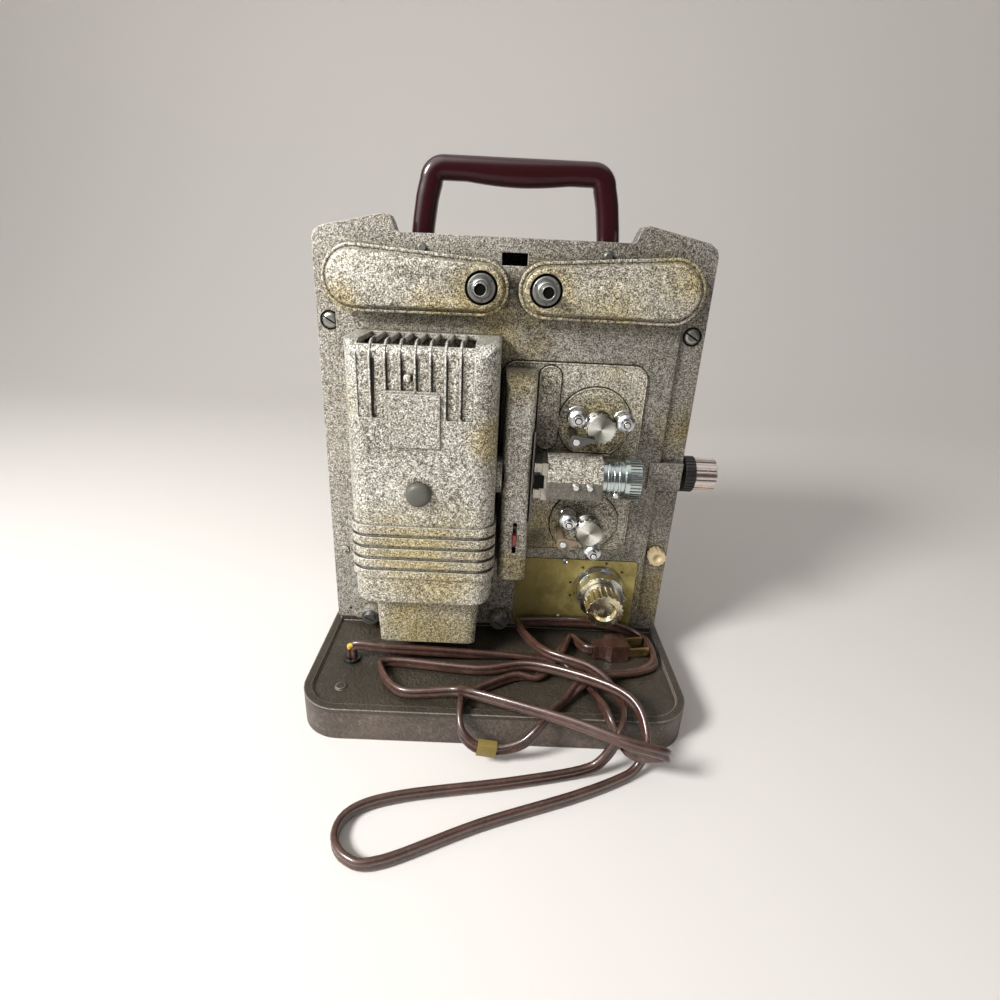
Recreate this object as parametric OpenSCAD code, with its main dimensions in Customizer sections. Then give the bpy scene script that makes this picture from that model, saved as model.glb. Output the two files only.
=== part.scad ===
// Portable 8 mm film projector: a cast front frame with folding reel arms, a ribbed lamp house,
// a sprocket and lens mechanism, a selector, a carrying handle, and a mains cord lying on its base tray.
// X runs to the right across the control face, Y to the rear, Z up.
// The origin is the centre of the base's flat underside.

/* [Base tray] */
// Width of the base tray
base_w = 256; // [252:1:280]
// Depth of the base tray
base_d = 200; // [196:1:220]
// Height of the rim above the table
base_h = 24; // [20:0.5:30]
// Radius of the tray's four corners
base_corner_r = 27; // [22:1:32]
// Width of the flat rim
rim_w = 5.5; // [4:0.5:7]
// Depth of the sunk floor below the rim
floor_drop = 2; // [1:0.5:3]
// Wall and floor thickness of the tray
base_wall = 3.5; // [2.5:0.5:5]
// Thickness of the bottom cover
cover_t = 2; // [1.5:0.5:3]
// Height of the plinth that the frame stands on
plinth_h = 4.7; // [3:0.1:7]

/* [Front frame] */
// Width of the front frame
frame_w = 250; // [246:1:251]
// Height of the frame from the plinth to its shoulders
frame_h = 273.8; // [268:0.2:290]
// Height of the two horns above the shoulders
horn_h = 13.5; // [8:0.5:18]
// Depth of the pan-shaped frame
frame_depth = 13.5; // [13:0.5:18]
// Thickness of the frame's front wall and sides
frame_wall = 4; // [3:0.5:5]
// How far the raised panel stands out of the frame
panel_proud = 3; // [2:0.5:4]
// Rear housing, front to back behind the frame
housing_d = 77; // [70:1:80]
// Wall of the rear housing
housing_wall = 2.5; // [2:0.5:3.5]

/* [Reel arms] */
// Distance from an arm's pivot to its reel spindle
arm_reach = 77.7; // [76:0.1:80]
// Radius of the arm's pivot end
arm_pivot_r = 19.6; // [17:0.1:20]
// Radius of the arm's spindle end
arm_tip_r = 16.7; // [14:0.1:17]
// Thickness of an arm
arm_t = 12.9; // [10:0.1:15]
// Radius of the arm's pivot trunnion
trunnion_r = 8; // [6:0.5:10]
// Radius of the reel spindle, which fits an 8 mm reel
spindle_r = 3.9; // [3.5:0.1:3.95]
// Length of the reel spindle in front of its flange
spindle_len = 18; // [15:1:22]
// Radius of the flange behind the reel
spindle_flange_r = 8.4; // [7:0.1:9.5]

/* [Lamp house] */
// Width of the lamp house
house_w = 91.3; // [85:0.1:93]
// Depth of the lamp house in front of the panel
house_d = 52; // [48:1:60]
// Clear height between the lamp house and the reel arms above it
house_clear = 11.5; // [8:0.5:20]
// Height of the narrower box under the step
house_foot_h = 38; // [34:1:42]
// Radius of the lamp house's front vertical edges
house_r = 13; // [9:1:16]
// Wall of the lamp house
house_wall = 3; // [2.5:0.5:3.5]
// Number of cooling slots in the top
slot_count = 8; // [5:1:10]
// Number of cast ribs round the front
rib_count = 5; // [3:1:6]
// Radius of the lamp's bulb
bulb_r = 15.5; // [12:0.5:18]

/* [Film path] */
// Teeth on each sprocket
sprocket_teeth = 16; // [16:1:16]
// Distance between two perforations of the film
film_pitch = 3.81; // [3.75:0.01:3.85]
// Sideways place of both sprocket axes
sprocket_x = 60; // [58:0.5:62]
// Height of the lens axis above the plinth
optic_h = 132.8; // [130:0.2:136]
// Height of the upper sprocket above the lens axis
upper_rise = 34.5; // [33:0.5:38]
// Depth of the lower sprocket below the lens axis
lower_drop = 39.5; // [38:0.5:42]
// Distance from a sprocket's axis to each of its rollers
roller_reach = 16.2; // [16:0.1:18]
// Radius of a roller's film shoulders
roller_r = 5.8; // [5:0.1:5.8]

/* [Lens] */
// Radius of the lens barrel
lens_r = 12.9; // [11:0.1:13.2]
// Radius of the knurled focusing ring
focus_ring_r = 14.4; // [14.3:0.1:15.5]
// Radius of the cast lens holder
holder_r = 15.3; // [15:0.1:16]
// Length of the cast lens holder
holder_len = 36; // [30:0.5:40]

/* [Controls] */
// Radius of the selector's collar
selector_r = 19.5; // [16:0.5:20]
// Radius of the fluted speed knob
speed_knob_r = 13; // [10:0.5:14]
// Radius of the fluted hand-turning knob
inching_knob_r = 11.8; // [9:0.1:13]
// Radius of the main shaft
shaft_r = 2.5; // [2:0.1:2.8]
// Radius of the small side knob
side_knob_r = 6.4; // [5:0.1:7]

/* [Handle] */
// Width of the handle across its feet
handle_w = 133; // [120:1:140]
// Height of the grip's centre above the housing
handle_rise = 39.5; // [35:0.5:50]
// Thickness of the handle, front to back
handle_t = 14; // [11:0.5:16]

/* [Drive] */
// Radius of the motor's body
motor_r = 30; // [25:1:31]
// Length of the motor's body
motor_len = 78; // [70:1:82]
// Radius of the blower fan
fan_r = 31; // [26:1:31]

/* [Cord] */
// Width of the flat twin cord
cord_w = 7.8; // [7:0.1:8.4]
// Thickness of the flat twin cord
cord_t = 4.2; // [3.6:0.1:4.6]

/* [Hidden] */
$fn = 64;

// Gap between a turning or sliding shaft and its hole
run_gap = 0.05;
// Gap between parts that move past each other
gap = 0.3;
// Small overlap that makes a cut pass through a face
eps = 1;

floor_z = base_h - floor_drop;
deck_z = floor_z + plinth_h;
shoulder_z = deck_z + frame_h;
top_z = shoulder_z + 3.5;
horn_z = shoulder_z + horn_h;
panel_y = -panel_proud;
frame_x = frame_w / 2;

// The raised panel's edges
panel_left = 13 - frame_x;
panel_right = frame_x - 16.7;
panel_top = shoulder_z - 8.5;

// The rear housing
housing_x = frame_x - 1.5;
housing_y1 = frame_depth + housing_d;
housing_top = shoulder_z + 2;
housing_r = 21;

// The lens axis
optic_z = deck_z + optic_h;
optic_y = -22;
upper_z = optic_z + upper_rise;
lower_z = optic_z - lower_drop;

// The gate housing, between the lamp house and the film
gate_x0 = -2;
gate_x1 = 17.6;
gate_y = -32.5;
gate_wall = 2;
gate_bottom = optic_z - 75.5;
gate_top = optic_z + 67.5;
aperture_t = 1;
film_gap = 0.4;
shoe_x = gate_x1 + aperture_t + film_gap;
shoe_w = 5;
shoe_flange = 3.7;
holder_x = shoe_x + shoe_w + shoe_flange;

// The sprocket plate on the raised panel
plate_t = 1.5;
plate_y = panel_y - plate_t;
pad_proud = 1;
pad_y = plate_y - pad_proud;
plate_x0 = -4;
plate_x1 = 91;
plate_z0 = optic_z - 64;
plate_z1 = optic_z + 71.5;
// The opening in the frame behind the sprocket plate
cut_x1 = plate_x1 - 5;
cut_z0 = plate_z0 + 10;
cut_z1 = plate_z1 - 10;

// The sprockets and what turns them
sprocket_r = sprocket_teeth * film_pitch / 2 / PI - 0.15;
tooth_h = 1.05;
sprocket_front = -28.5;
sprocket_back = -17;
sprocket_shaft_r = 3;
worm_x = sprocket_x + 19;
worm_y = 14.5;
worm_r = 5.5;
gear_r = worm_x - sprocket_x - worm_r - gap;
gear_t = 5;
inching_y = 5.7;
inching_z = optic_z - 4;
helix_r = (worm_y - inching_y - gap) / 2;
shutter_x = 4.2;
shutter_r = 32;

// Rollers, each at its angle round its sprocket
upper_left_angle = 160;
upper_right_angle = 15;
lower_left_angle = 155;
lower_right_angle = -75;
stud_r = 1.6;
// Film levers, from their sprocket's axis
upper_lever = [-15.5, -8];
lower_lever = [-17.7, -7.2];
lever_len = 11;
lever_head_r = 4.3;
lever_front = sprocket_front - 2.6;
lever_back = lever_front + 2;
roller_front = sprocket_front + 0.5;
roller_back = roller_front + 14;

// The selector and the plate round it
selector_x = 76.3;
selector_z = deck_z + 36;
selector_depth = 13;
off_angle = 169;
control_x0 = 12.4;
control_x1 = 103.5;
control_z0 = deck_z + 1;
control_z1 = deck_z + 60;
control_t = 0.8;
side_knob_x = frame_x - 8.9;
side_knob_z = deck_z + 66.5;

// The reel arms
arm_back = panel_y - 0.3;
arm_front = arm_back - arm_t;
arm_x = frame_x - 27.7;
arm_z = shoulder_z - 23.2;
arm_drop = 2.5;
arm_lean = asin(arm_drop / arm_reach);
spindle_x = arm_x - arm_reach * cos(arm_lean);
spindle_z = arm_z - arm_drop;
key_half = 0.6;
key_proud = 0.15;

// The lamp house, as high as the arms leave it
house_right = -5.7;
house_left = house_right - house_w;
house_front = panel_y - house_d;
house_z0 = deck_z + 11.5 + house_foot_h;
house_z1 = arm_z - arm_pivot_r - house_clear;
house_h = house_z1 - house_z0;
lamp_x = -50;
lamp_y = -25;
condenser_r = 11.5;

// The motor and fan
motor_y = 56;
motor_rise = 70;
motor_z = deck_z + motor_rise;
motor_x0 = -48;
motor_foot_end = 8;
motor_foot_t = 10;
motor_foot_half = 18;
belt_x = 40;
belt_w = 3;
small_pulley_r = 5.6;
motor_shaft_r = 3;
fan_w = 34;

// Where the cord leaves the tray
grommet_x = -102.9;
grommet_y = -47.7;
grommet_r = 6.2;

module box(low, high) {
    translate(low) cube(high - low);
}

module rod_x(y, z, x0, x1, r) {
    translate([x0, y, z]) rotate([0, 90, 0]) cylinder(r = r, h = x1 - x0);
}

module rod_y(x, z, y0, y1, r) {
    translate([x, y0, z]) rotate([-90, 0, 0]) cylinder(r = r, h = y1 - y0);
}

module rod_z(x, y, z0, z1, r) {
    translate([x, y, z0]) cylinder(r = r, h = z1 - z0);
}

// Extrudes an outline drawn in X and Z from y0 back to y1
module slab_y(y0, y1) {
    translate([0, y1, 0]) rotate([90, 0, 0]) linear_extrude(y1 - y0) children();
}

// Extrudes an outline drawn in Y and Z from x0 to x1
module slab_x(x0, x1) {
    translate([x0, 0, 0]) rotate([90, 0, 90]) linear_extrude(x1 - x0) children();
}

// A rectangle from one corner to the other with four round corners
module rounded(low, high, r) {
    for (x = [low[0] + r, high[0] - r], y = [low[1] + r, high[1] - r]) translate([x, y]) circle(r);
    translate([low[0] + r, low[1]]) square([high[0] - low[0] - 2 * r, high[1] - low[1]]);
    translate([low[0], low[1] + r]) square([high[0] - low[0], high[1] - low[1] - 2 * r]);
}

// Two circles joined by their outer tangents
module tapered_link(d, r1, r2) {
    a = acos((r1 - r2) / d);
    circle(r1);
    translate([d, 0]) circle(r2);
    polygon([
        r1 * [cos(a), sin(a)], [d, 0] + r2 * [cos(a), sin(a)],
        [d, 0] + r2 * [cos(a), -sin(a)], r1 * [cos(a), -sin(a)]
    ]);
}

// A round screw head facing forward, with its slot
module slotted_head(x, z, y_front, head_r, head_h, shank_r, y_end) {
    difference() {
        rod_y(x, z, y_front, y_front + head_h, head_r);
        translate([x, y_front, z]) rotate([0, 30, 0])
            cube([2 * head_r + eps, head_h, 1], center = true);
    }
    rod_y(x, z, y_front + head_h, y_end, shank_r);
}

// A countersunk screw head with a low dome, flush with the face at y_face
module countersunk_head(x, z, y_face, head_r, depth, shank_r, y_end) {
    difference() {
        union() {
            translate([x, y_face, z]) rotate([-90, 0, 0]) cylinder(r1 = head_r, r2 = shank_r, h = depth);
            translate([x, y_face - 0.7, z]) rotate([-90, 0, 0])
                cylinder(r1 = head_r - 1.4, r2 = head_r, h = 0.7);
        }
        translate([x, y_face, z]) rotate([0, 30, 0]) cube([2 * head_r + eps, 1.8, 1], center = true);
    }
    rod_y(x, z, y_face + depth - 0.2, y_end, shank_r);
}

module tray_outline(inset) {
    rounded([-base_w / 2 + inset, -base_d / 2 + inset], [base_w / 2 - inset, base_d / 2 - inset],
        base_corner_r - inset);
}

module base_tray() {
    color("#241f1d") {
        difference() {
            linear_extrude(base_h) tray_outline(0);
            translate([0, 0, floor_z]) linear_extrude(base_h) tray_outline(rim_w);
            difference() {
                translate([0, 0, -eps]) linear_extrude(floor_z - base_wall + eps)
                    tray_outline(base_wall);
                cover_posts(cover_t, floor_z);
            }
            translate([0, 0, -eps]) linear_extrude(cover_t + eps) tray_outline(base_wall - 1.5);
            rod_z(grommet_x, grommet_y, 0, base_h, grommet_r - 1.2);
            cover_screw_holes();
        }
        translate([0, 0, floor_z]) linear_extrude(plinth_h) housing_outline(0, 0);
        rod_z(-103.4, -77, floor_z, floor_z + 1.4, 3.4);
    }
}

cover_post_x = base_w / 2 - 23;
cover_post_y = base_d / 2 - 20;

module cover_posts(z0, z1) {
    for (x = [-1, 1], y = [-1, 1]) rod_z(x * cover_post_x, y * cover_post_y, z0, z1, 5);
}

module cover_screw_holes() {
    for (x = [-1, 1], y = [-1, 1]) rod_z(x * cover_post_x, y * cover_post_y, 0, 12, 1.6);
}

module bottom_cover() {
    color("#2b2826") difference() {
        linear_extrude(cover_t) tray_outline(base_wall - 1.5 + 0.2);
        for (x = [-1, 1], y = [-1, 1]) rod_z(x * cover_post_x, y * cover_post_y, -eps, base_h, 3.6);
    }
}

module base_screws() {
    color("silver") for (x = [-1, 1], y = [-1, 1]) {
        rod_z(x * cover_post_x, y * cover_post_y, 0.3, cover_t, 3.5);
        rod_z(x * cover_post_x, y * cover_post_y, cover_t, 11, 1.5);
    }
}

module cord_grommet() {
    color("#1b1716") difference() {
        union() {
            rod_z(grommet_x, grommet_y, floor_z - base_wall - 1.5, floor_z - base_wall, grommet_r);
            rod_z(grommet_x, grommet_y, floor_z - base_wall, floor_z, grommet_r - 1.3);
            rod_z(grommet_x, grommet_y, floor_z, floor_z + 2.6, grommet_r);
        }
        rod_z(grommet_x, grommet_y, 0, base_h + 9, cord_w / 2 + 0.2);
    }
}

// Where a horn's inner end meets the frame's top edge
horn_reach = 54;
horn_x = frame_x - horn_reach;

// Right half of the frame's front outline: a straight side, a round shoulder and a horn
frame_side = [
    [frame_x, deck_z], [frame_x, shoulder_z - 2], [frame_x - 1.5, shoulder_z + 2],
    [frame_x - 6.2, shoulder_z + 5.3], [horn_x + 9.5, horn_z], [horn_x + 6, horn_z - 0.8],
    [horn_x + 4.5, horn_z - 3.5], [horn_x + 2.5, top_z + 1], [horn_x, top_z]
];

function frame_points() = concat(frame_side,
    [for (i = [len(frame_side) - 1:-1:0]) [-frame_side[i][0], frame_side[i][1]]]);

// Two round lugs stand out of the panel's foot
lug_x = [-97.5, 1.5];
lug_z = deck_z + 7.5;
lug_r = 6.8;
lug_front = panel_y - 9;
fixing_x = frame_x - 8.2;
fixing_z = shoulder_z - 49.8;
head_x = 57.3;
head_z = shoulder_z - 4.9;
boss_x0 = frame_x - 24;
boss_half = 10.2;

module front_frame() {
    color("#8d8674") difference() {
        union() {
            difference() {
                slab_y(0, frame_depth) polygon(frame_points());
                slab_y(frame_wall, frame_depth + eps) rounded([frame_wall - frame_x, deck_z + frame_wall],
                    [frame_x - frame_wall, shoulder_z - 0.5], 6);
            }
            slab_y(panel_y, 0) rounded([panel_left, deck_z], [panel_right, panel_top], 4);
            box([boss_x0, panel_y - 1.5, inching_z - boss_half],
                [frame_x - 0.5, frame_depth, inching_z + boss_half]);
            for (side = [-1, 1]) {
                rod_y(side * head_x, head_z - 2, frame_wall - eps, frame_depth, 6);
                rod_y(side * fixing_x, fixing_z, frame_wall - eps, frame_depth, 5.5);
            }
            frame_bumps();
        }
        box([gate_x0 + 3, panel_y - eps, cut_z0], [cut_x1, frame_wall + eps, cut_z1]);
        box([-8, panel_y - eps, top_z - 16], [8, frame_wall + eps, top_z - 8.5]);
        for (side = [-1, 1]) {
            rod_y(side * arm_x, arm_z, panel_y - eps, frame_wall + eps, trunnion_r + run_gap);
            rod_y(side * head_x, head_z - 2, frame_wall, frame_depth + eps, 1.7);
            rod_y(side * head_x, head_z, -eps, frame_wall + eps, 1.7);
            rod_y(side * fixing_x, fixing_z, -eps, frame_depth + eps, 1.8);
            translate([side * fixing_x, -0.2, fixing_z]) rotate([-90, 0, 0])
                cylinder(r1 = 4.9, r2 = 1.8, h = 3.1);
        }
        rod_x(inching_y, inching_z, boss_x0 - eps, frame_x + eps, shaft_r + run_gap);
        box([boss_x0 - 16, frame_wall - 2.2, inching_z - 5], [boss_x0, frame_depth, inching_z + 5]);
        rod_y(selector_x, selector_z, panel_y - eps, frame_wall + eps, 5 + run_gap);
        rod_y(side_knob_x, side_knob_z, -eps, frame_wall + eps, 2 + run_gap);
        for (x = lug_x) rod_y(x, lug_z, panel_y - eps, 2.5, 1.7);
        rod_y(10 - frame_x, deck_z + 6.5, -eps, frame_wall + eps, 1.1);
    }
}

module frame_lugs() {
    color("#8d8674") for (x = lug_x) difference() {
        rod_y(x, lug_z, lug_front, panel_y, lug_r);
        rod_y(x, lug_z, lug_front - eps, panel_y + eps, 1.7);
    }
}

// Low round rivet heads on the casting beside the panel
module frame_bumps() {
    for (spot = [[panel_right + 6.6, optic_z + 11.2], [panel_right + 6.8, optic_z - 17.2],
                 [8.6 - frame_x, deck_z + 58.6]])
        rod_y(spot[0], spot[1], -1, 0, 3);
}

module frame_screws() {
    color("#3a3734") for (side = [-1, 1])
        countersunk_head(side * fixing_x, fixing_z, 0, 4.4, 2.8, 1.5, frame_depth - 1);
    color("silver") {
        for (side = [-1, 1]) {
            translate([side * head_x, 0, head_z]) rotate([90, 0, 0])
                cylinder(r1 = 3.4, r2 = 2.2, h = 2);
            rod_y(side * head_x, head_z, 0, frame_wall - 0.5, 1.5);
        }
        for (x = lug_x) {
            rod_y(x, lug_z, lug_front - 1, lug_front, lug_r - 0.5);
            slotted_head(x, lug_z, lug_front - 3.6, 4.3, 2.6, 1.5, 2);
        }
        rod_y(-1.2, arm_z - 3.9, panel_y - 2.6, panel_y, 1.3);
    }
}

module housing_outline(inset, y_front) {
    r = housing_r - inset;
    x = housing_x - inset;
    y1 = housing_y1 - inset;
    translate([-x, y_front]) square([2 * x, y1 - r - y_front]);
    translate([r - x, y_front]) square([2 * (x - r), y1 - y_front]);
    for (side = [-1, 1]) translate([side * (x - r), y1 - r]) circle(r);
}

// Side view of the housing, round along its top rear edge
module housing_side(inset) {
    r = 14 - inset;
    y1 = housing_y1 - inset;
    z1 = housing_top - inset;
    translate([0, deck_z - (inset > 0 ? eps : 0)]) square([y1, z1 - deck_z - r]);
    translate([0, deck_z]) square([y1 - r, z1 - deck_z]);
    translate([y1 - r, z1 - r]) circle(r);
}

module housing_form(inset, y_front) {
    intersection() {
        translate([0, 0, deck_z - eps]) linear_extrude(housing_top - deck_z + 2 * eps)
            housing_outline(inset, y_front);
        slab_x(-frame_x, frame_x) housing_side(inset);
    }
}

module rear_housing() {
    color("#8a8472") {
        difference() {
            housing_form(0, frame_depth);
            housing_form(housing_wall, frame_depth - eps);
            for (side = [-1, 1], i = [0:7])
                box([side * 55 - 32, housing_y1 - housing_wall - eps, deck_z + 40 + 9 * i],
                    [side * 55 + 32, housing_y1 + eps, deck_z + 44 + 9 * i]);
            for (x = [-1, 1]) rod_z(x * foot_x, handle_y, housing_top - 5, housing_top + eps, 1.9);
            for (x = [-1, 1], z = [deck_z + 12, housing_top - 30])
                rod_y(x * 80, z, housing_y1 - housing_wall - eps, housing_y1 + eps, 1.8);
        }
        for (x = [-1, 1], z = [deck_z + 12, housing_top - 30]) difference() {
            rod_y(x * 80, z, housing_y1 - housing_wall - 9, housing_y1 - housing_wall, 4.5);
            rod_y(x * 80, z, housing_y1 - housing_wall - 10, housing_y1, 1.8);
        }
    }
}

module rear_screws() {
    color("silver") for (x = [-1, 1], z = [deck_z + 12, housing_top - 30]) {
        rod_y(x * 80, z, housing_y1, housing_y1 + 2, 3.6);
        rod_y(x * 80, z, housing_y1 - housing_wall - 8, housing_y1, 1.6);
    }
}

// The handle's feet stand on the housing behind the frame's top edge
handle_y = frame_depth + 1 + handle_t / 2;
foot_x = handle_w / 2 - 7;
grip_z = housing_top + handle_rise;
handle_corner = foot_x - 5.5;

// Centre line of the handle: leaning legs, round corners and a straight grip
function handle_path() = concat(
    [[-foot_x, housing_top], [-foot_x + 1.2, housing_top + 10], [-foot_x + 3, housing_top + 22]],
    [for (a = [0:15:90]) [-handle_corner + 8 - 8 * cos(a) + 0.2, grip_z - 8 + 8 * sin(a)]],
    [for (x = [-30:15:30]) [x, grip_z]],
    [for (a = [90:-15:0]) [handle_corner - 8 + 8 * cos(a) - 0.2, grip_z - 8 + 8 * sin(a)]],
    [[foot_x - 3, housing_top + 22], [foot_x - 1.2, housing_top + 10], [foot_x, housing_top]]
);

// Width of the grip in the plane of the handle, swelling under the middle
function handle_width(x) = abs(x) < 32 ? 15 + 2.2 * cos(x * 90 / 32) : 14.2;

module handle() {
    path = handle_path();
    last = len(path) - 1;
    sides = 12;
    points = [for (i = [0:last])
        let (d = i == 0 ? [0, 1] : i == last ? [0, -1] : path[i + 1] - path[i - 1],
             t = d / norm(d), w = handle_width(path[i][0]) / 2, sag = (handle_width(path[i][0]) - 14.2) / 2)
        for (k = [0:sides - 1])
            let (a = 360 * (k + 0.5) / sides,
                 u = w * sign(cos(a)) * pow(abs(cos(a)), 0.55),
                 v = handle_t / 2 * sign(sin(a)) * pow(abs(sin(a)), 0.55))
            [path[i][0] - t[1] * u, handle_y + v, path[i][1] + t[0] * u - sag]
    ];
    color("#4a0f14") difference() {
        polyhedron(points, sweep_faces(last + 1, sides), convexity = 6);
        for (x = [-1, 1]) rod_z(x * foot_x, handle_y, housing_top - eps, housing_top + 12, 1.9);
    }
}

// Faces of a closed tube made of rings of points, one after another
function sweep_faces(rings, sides) = concat(
    [for (i = [0:rings - 2], k = [0:sides - 1])
        [i * sides + k, (i + 1) * sides + k, (i + 1) * sides + (k + 1) % sides]],
    [for (i = [0:rings - 2], k = [0:sides - 1])
        [i * sides + k, (i + 1) * sides + (k + 1) % sides, i * sides + (k + 1) % sides]],
    [for (k = [1:sides - 2]) [0, k, k + 1]],
    [for (k = [1:sides - 2]) [(rings - 1) * sides, (rings - 1) * sides + k + 1, (rings - 1) * sides + k]]
);

module handle_screws() {
    color("silver") for (x = [-1, 1]) {
        rod_z(x * foot_x, handle_y, housing_top - housing_wall - 2.5, housing_top - housing_wall, 3.5);
        rod_z(x * foot_x, handle_y, housing_top - housing_wall, housing_top + 11, 1.7);
    }
}

// Plan of the lamp house: square at the panel, round at the front
module house_plan(inset, extra) {
    r = house_r - inset;
    x0 = house_left + inset - extra;
    x1 = house_right - inset + extra;
    y0 = house_front + inset - extra;
    translate([x0, y0 + r]) square([x1 - x0, panel_y - y0 - r]);
    translate([x0 + r, y0]) square([x1 - x0 - 2 * r, panel_y - y0]);
    for (x = [x0 + r, x1 - r]) translate([x, y0 + r]) circle(r);
}

// Front view of the lamp house: round lower corners above the step
module house_face(inset) {
    r = 9 - inset;
    x0 = house_left + inset;
    x1 = house_right - inset;
    z0 = house_z0 + inset;
    z1 = house_z1 - inset;
    rounded([x0 - 4, z0], [x1 + 4, z1 + 30], r + 4);
}

// Side view of the lamp house: round top front edge
module house_side(inset) {
    r = 11 - inset;
    y0 = house_front - 4;
    z1 = house_z1 - inset;
    translate([house_front + inset + r, house_z0]) square([house_d, z1 - house_z0]);
    translate([y0, house_z0]) square([house_d + 5, z1 - house_z0 - r]);
    translate([house_front + inset + r, z1 - r]) circle(r);
}

module house_body(inset, extra) {
    intersection() {
        translate([0, 0, house_z0]) linear_extrude(house_h) house_plan(inset, extra);
        slab_y(house_front - 5, panel_y + (inset > 0 ? eps : 0)) house_face(inset);
        slab_x(house_left - 5, house_right + 5) house_side(inset);
    }
}

foot_x0 = house_left + 11;
foot_x1 = house_right - 7.3;
foot_front = house_front + 9;
foot_z0 = house_z0 - house_foot_h;

// The narrower box under the step, tapering downwards
module house_foot(inset) {
    r = 9 - inset;
    y0 = foot_front + inset;
    intersection() {
        translate([0, 0, foot_z0 - 1]) linear_extrude(house_foot_h + 14) {
            translate([foot_x0 + inset, y0 + r])
                square([foot_x1 - foot_x0 - 2 * inset, panel_y - y0 - r + (inset > 0 ? eps : 0)]);
            translate([foot_x0 + inset + r, y0])
                square([foot_x1 - foot_x0 - 2 * inset - 2 * r, panel_y - y0]);
            for (x = [foot_x0 + inset + r, foot_x1 - inset - r]) translate([x, y0 + r]) circle(r);
        }
        slab_y(house_front, panel_y + eps) polygon([
            [foot_x0 + 4 + inset, foot_z0 + inset], [foot_x1 - 3 - inset, foot_z0 + inset],
            [foot_x1 - inset, house_z0 + 12], [foot_x0 + inset, house_z0 + 12]
        ]);
    }
}

slot_x0 = house_left + 9;
slot_x1 = house_right - 13;
slot_pitch = (slot_x1 - slot_x0) / slot_count;
fin_w = 1.8;
groove_z = house_z1 - 44;
pad_half = 15;
pad_h = 32;
pad_z1 = house_z1 - 29;
pad_z0 = pad_z1 - pad_h;
rib_h = 5.6;
rib_pitch = 8;
rib_z0 = house_z0 + 19;
rib_top = rib_z0 + (rib_count - 1) * rib_pitch + rib_h;
// The round button sits between the top rib and the pad, a little below the middle
latch_share = 0.43;
latch_x = -53;
latch_z = rib_top + latch_share * (pad_z0 - rib_top);

module lamp_house() {
    color("#97907d") difference() {
        union() {
            house_body(0, 0);
            house_foot(0);
            for (i = [0:rib_count - 1]) intersection() {
                translate([0, 0, rib_z0 + i * rib_pitch]) linear_extrude(rib_h) house_plan(0, 1.3);
                slab_y(house_front - 5, panel_y) translate([house_left - 3, house_z0])
                    square([house_w + 6, house_h]);
            }
            box([latch_x - pad_half - 2, house_front - 1.3, pad_z0],
                [latch_x + pad_half - 2, house_front + 1, pad_z1]);
            rod_y(latch_x - 3, house_z1 - 19.5, house_front - 1.2, house_front + 1, 2.2);
        }
        house_body(house_wall, 0);
        house_foot(house_wall);
        for (i = [0:slot_count - 1]) {
            x = slot_x0 + i * slot_pitch;
            box([x, house_front + 4.5, house_z1 - 14], [x + slot_pitch - fin_w, panel_y - 6, house_z1 + eps]);
            groove_end = abs(x + slot_pitch / 2 - latch_x + 2) < pad_half + 3 ? pad_z1 + 1.5 : groove_z;
            box([x, house_front - 2, groove_end],
                [x + slot_pitch - fin_w, house_front + 1.3, house_z1 + eps]);
        }
        rod_y(latch_x, latch_z, house_front - 2, house_front + house_wall + eps, 2.5 + run_gap);
        rod_x(optic_y, optic_z, house_right - 8, house_right + 4, condenser_r + 2.2);
    }
}

module lamp_house_latch() {
    color("#6d7263") {
        rod_y(latch_x, latch_z, house_front - 6, house_front - 0.3, 7.8);
        rod_y(latch_x, latch_z, house_front - 0.3, house_front + house_wall + 5, 2.5);
        rod_y(latch_x, latch_z, house_front + house_wall + 0.3, house_front + house_wall + 2, 4.5);
    }
}

lamp_base_z = optic_z - 62;

module lamp() {
    color("#d8dce0") {
        rod_z(lamp_x, lamp_y, lamp_base_z + 12, optic_z + 22, bulb_r);
        translate([lamp_x, lamp_y, optic_z + 22]) intersection() {
            sphere(bulb_r);
            cylinder(r = bulb_r + 1, h = bulb_r + 1);
        }
        rod_z(lamp_x, lamp_y, lamp_base_z, lamp_base_z + 12, 13);
    }
}

module lamp_socket() {
    color("#35302b") {
        difference() {
            rod_z(lamp_x, lamp_y, lamp_base_z - 12, lamp_base_z + 7, 16.5);
            rod_z(lamp_x, lamp_y, lamp_base_z, lamp_base_z + 8, 13.1);
        }
        box([lamp_x - 9, lamp_y + 10, lamp_base_z - 12], [lamp_x + 9, panel_y, lamp_base_z - 4]);
    }
}

reflector_x = -80;
reflector_r = 44;
reflector_half = 17.6;
reflector_t = 1.2;

// A spherical mirror behind the bulb, carried by an arm from the panel
module reflector() {
    edge = asin(reflector_half / reflector_r);
    color("silver") {
        translate([reflector_x + reflector_r, optic_y, optic_z]) rotate([0, -90, 0])
            rotate_extrude() polygon(concat(
                [for (i = [0:8]) reflector_r * [sin(edge * i / 8), cos(edge * i / 8)]],
                [for (i = [8:-1:0]) (reflector_r + reflector_t) * [sin(edge * i / 8), cos(edge * i / 8)]]
            ));
        box([reflector_x - reflector_t, optic_y + 4, optic_z - 5], [reflector_x, panel_y, optic_z + 5]);
    }
}

condenser_x = [-22, -11];

module condenser_lenses() {
    color("#cfe3e6") for (i = [0, 1]) translate([condenser_x[i], optic_y, optic_z])
        rotate([0, i == 0 ? -90 : 90, 0]) intersection() {
            cylinder(r = condenser_r - run_gap, h = 7);
            translate([0, 0, 7 - 20]) sphere(20);
        }
}

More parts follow.
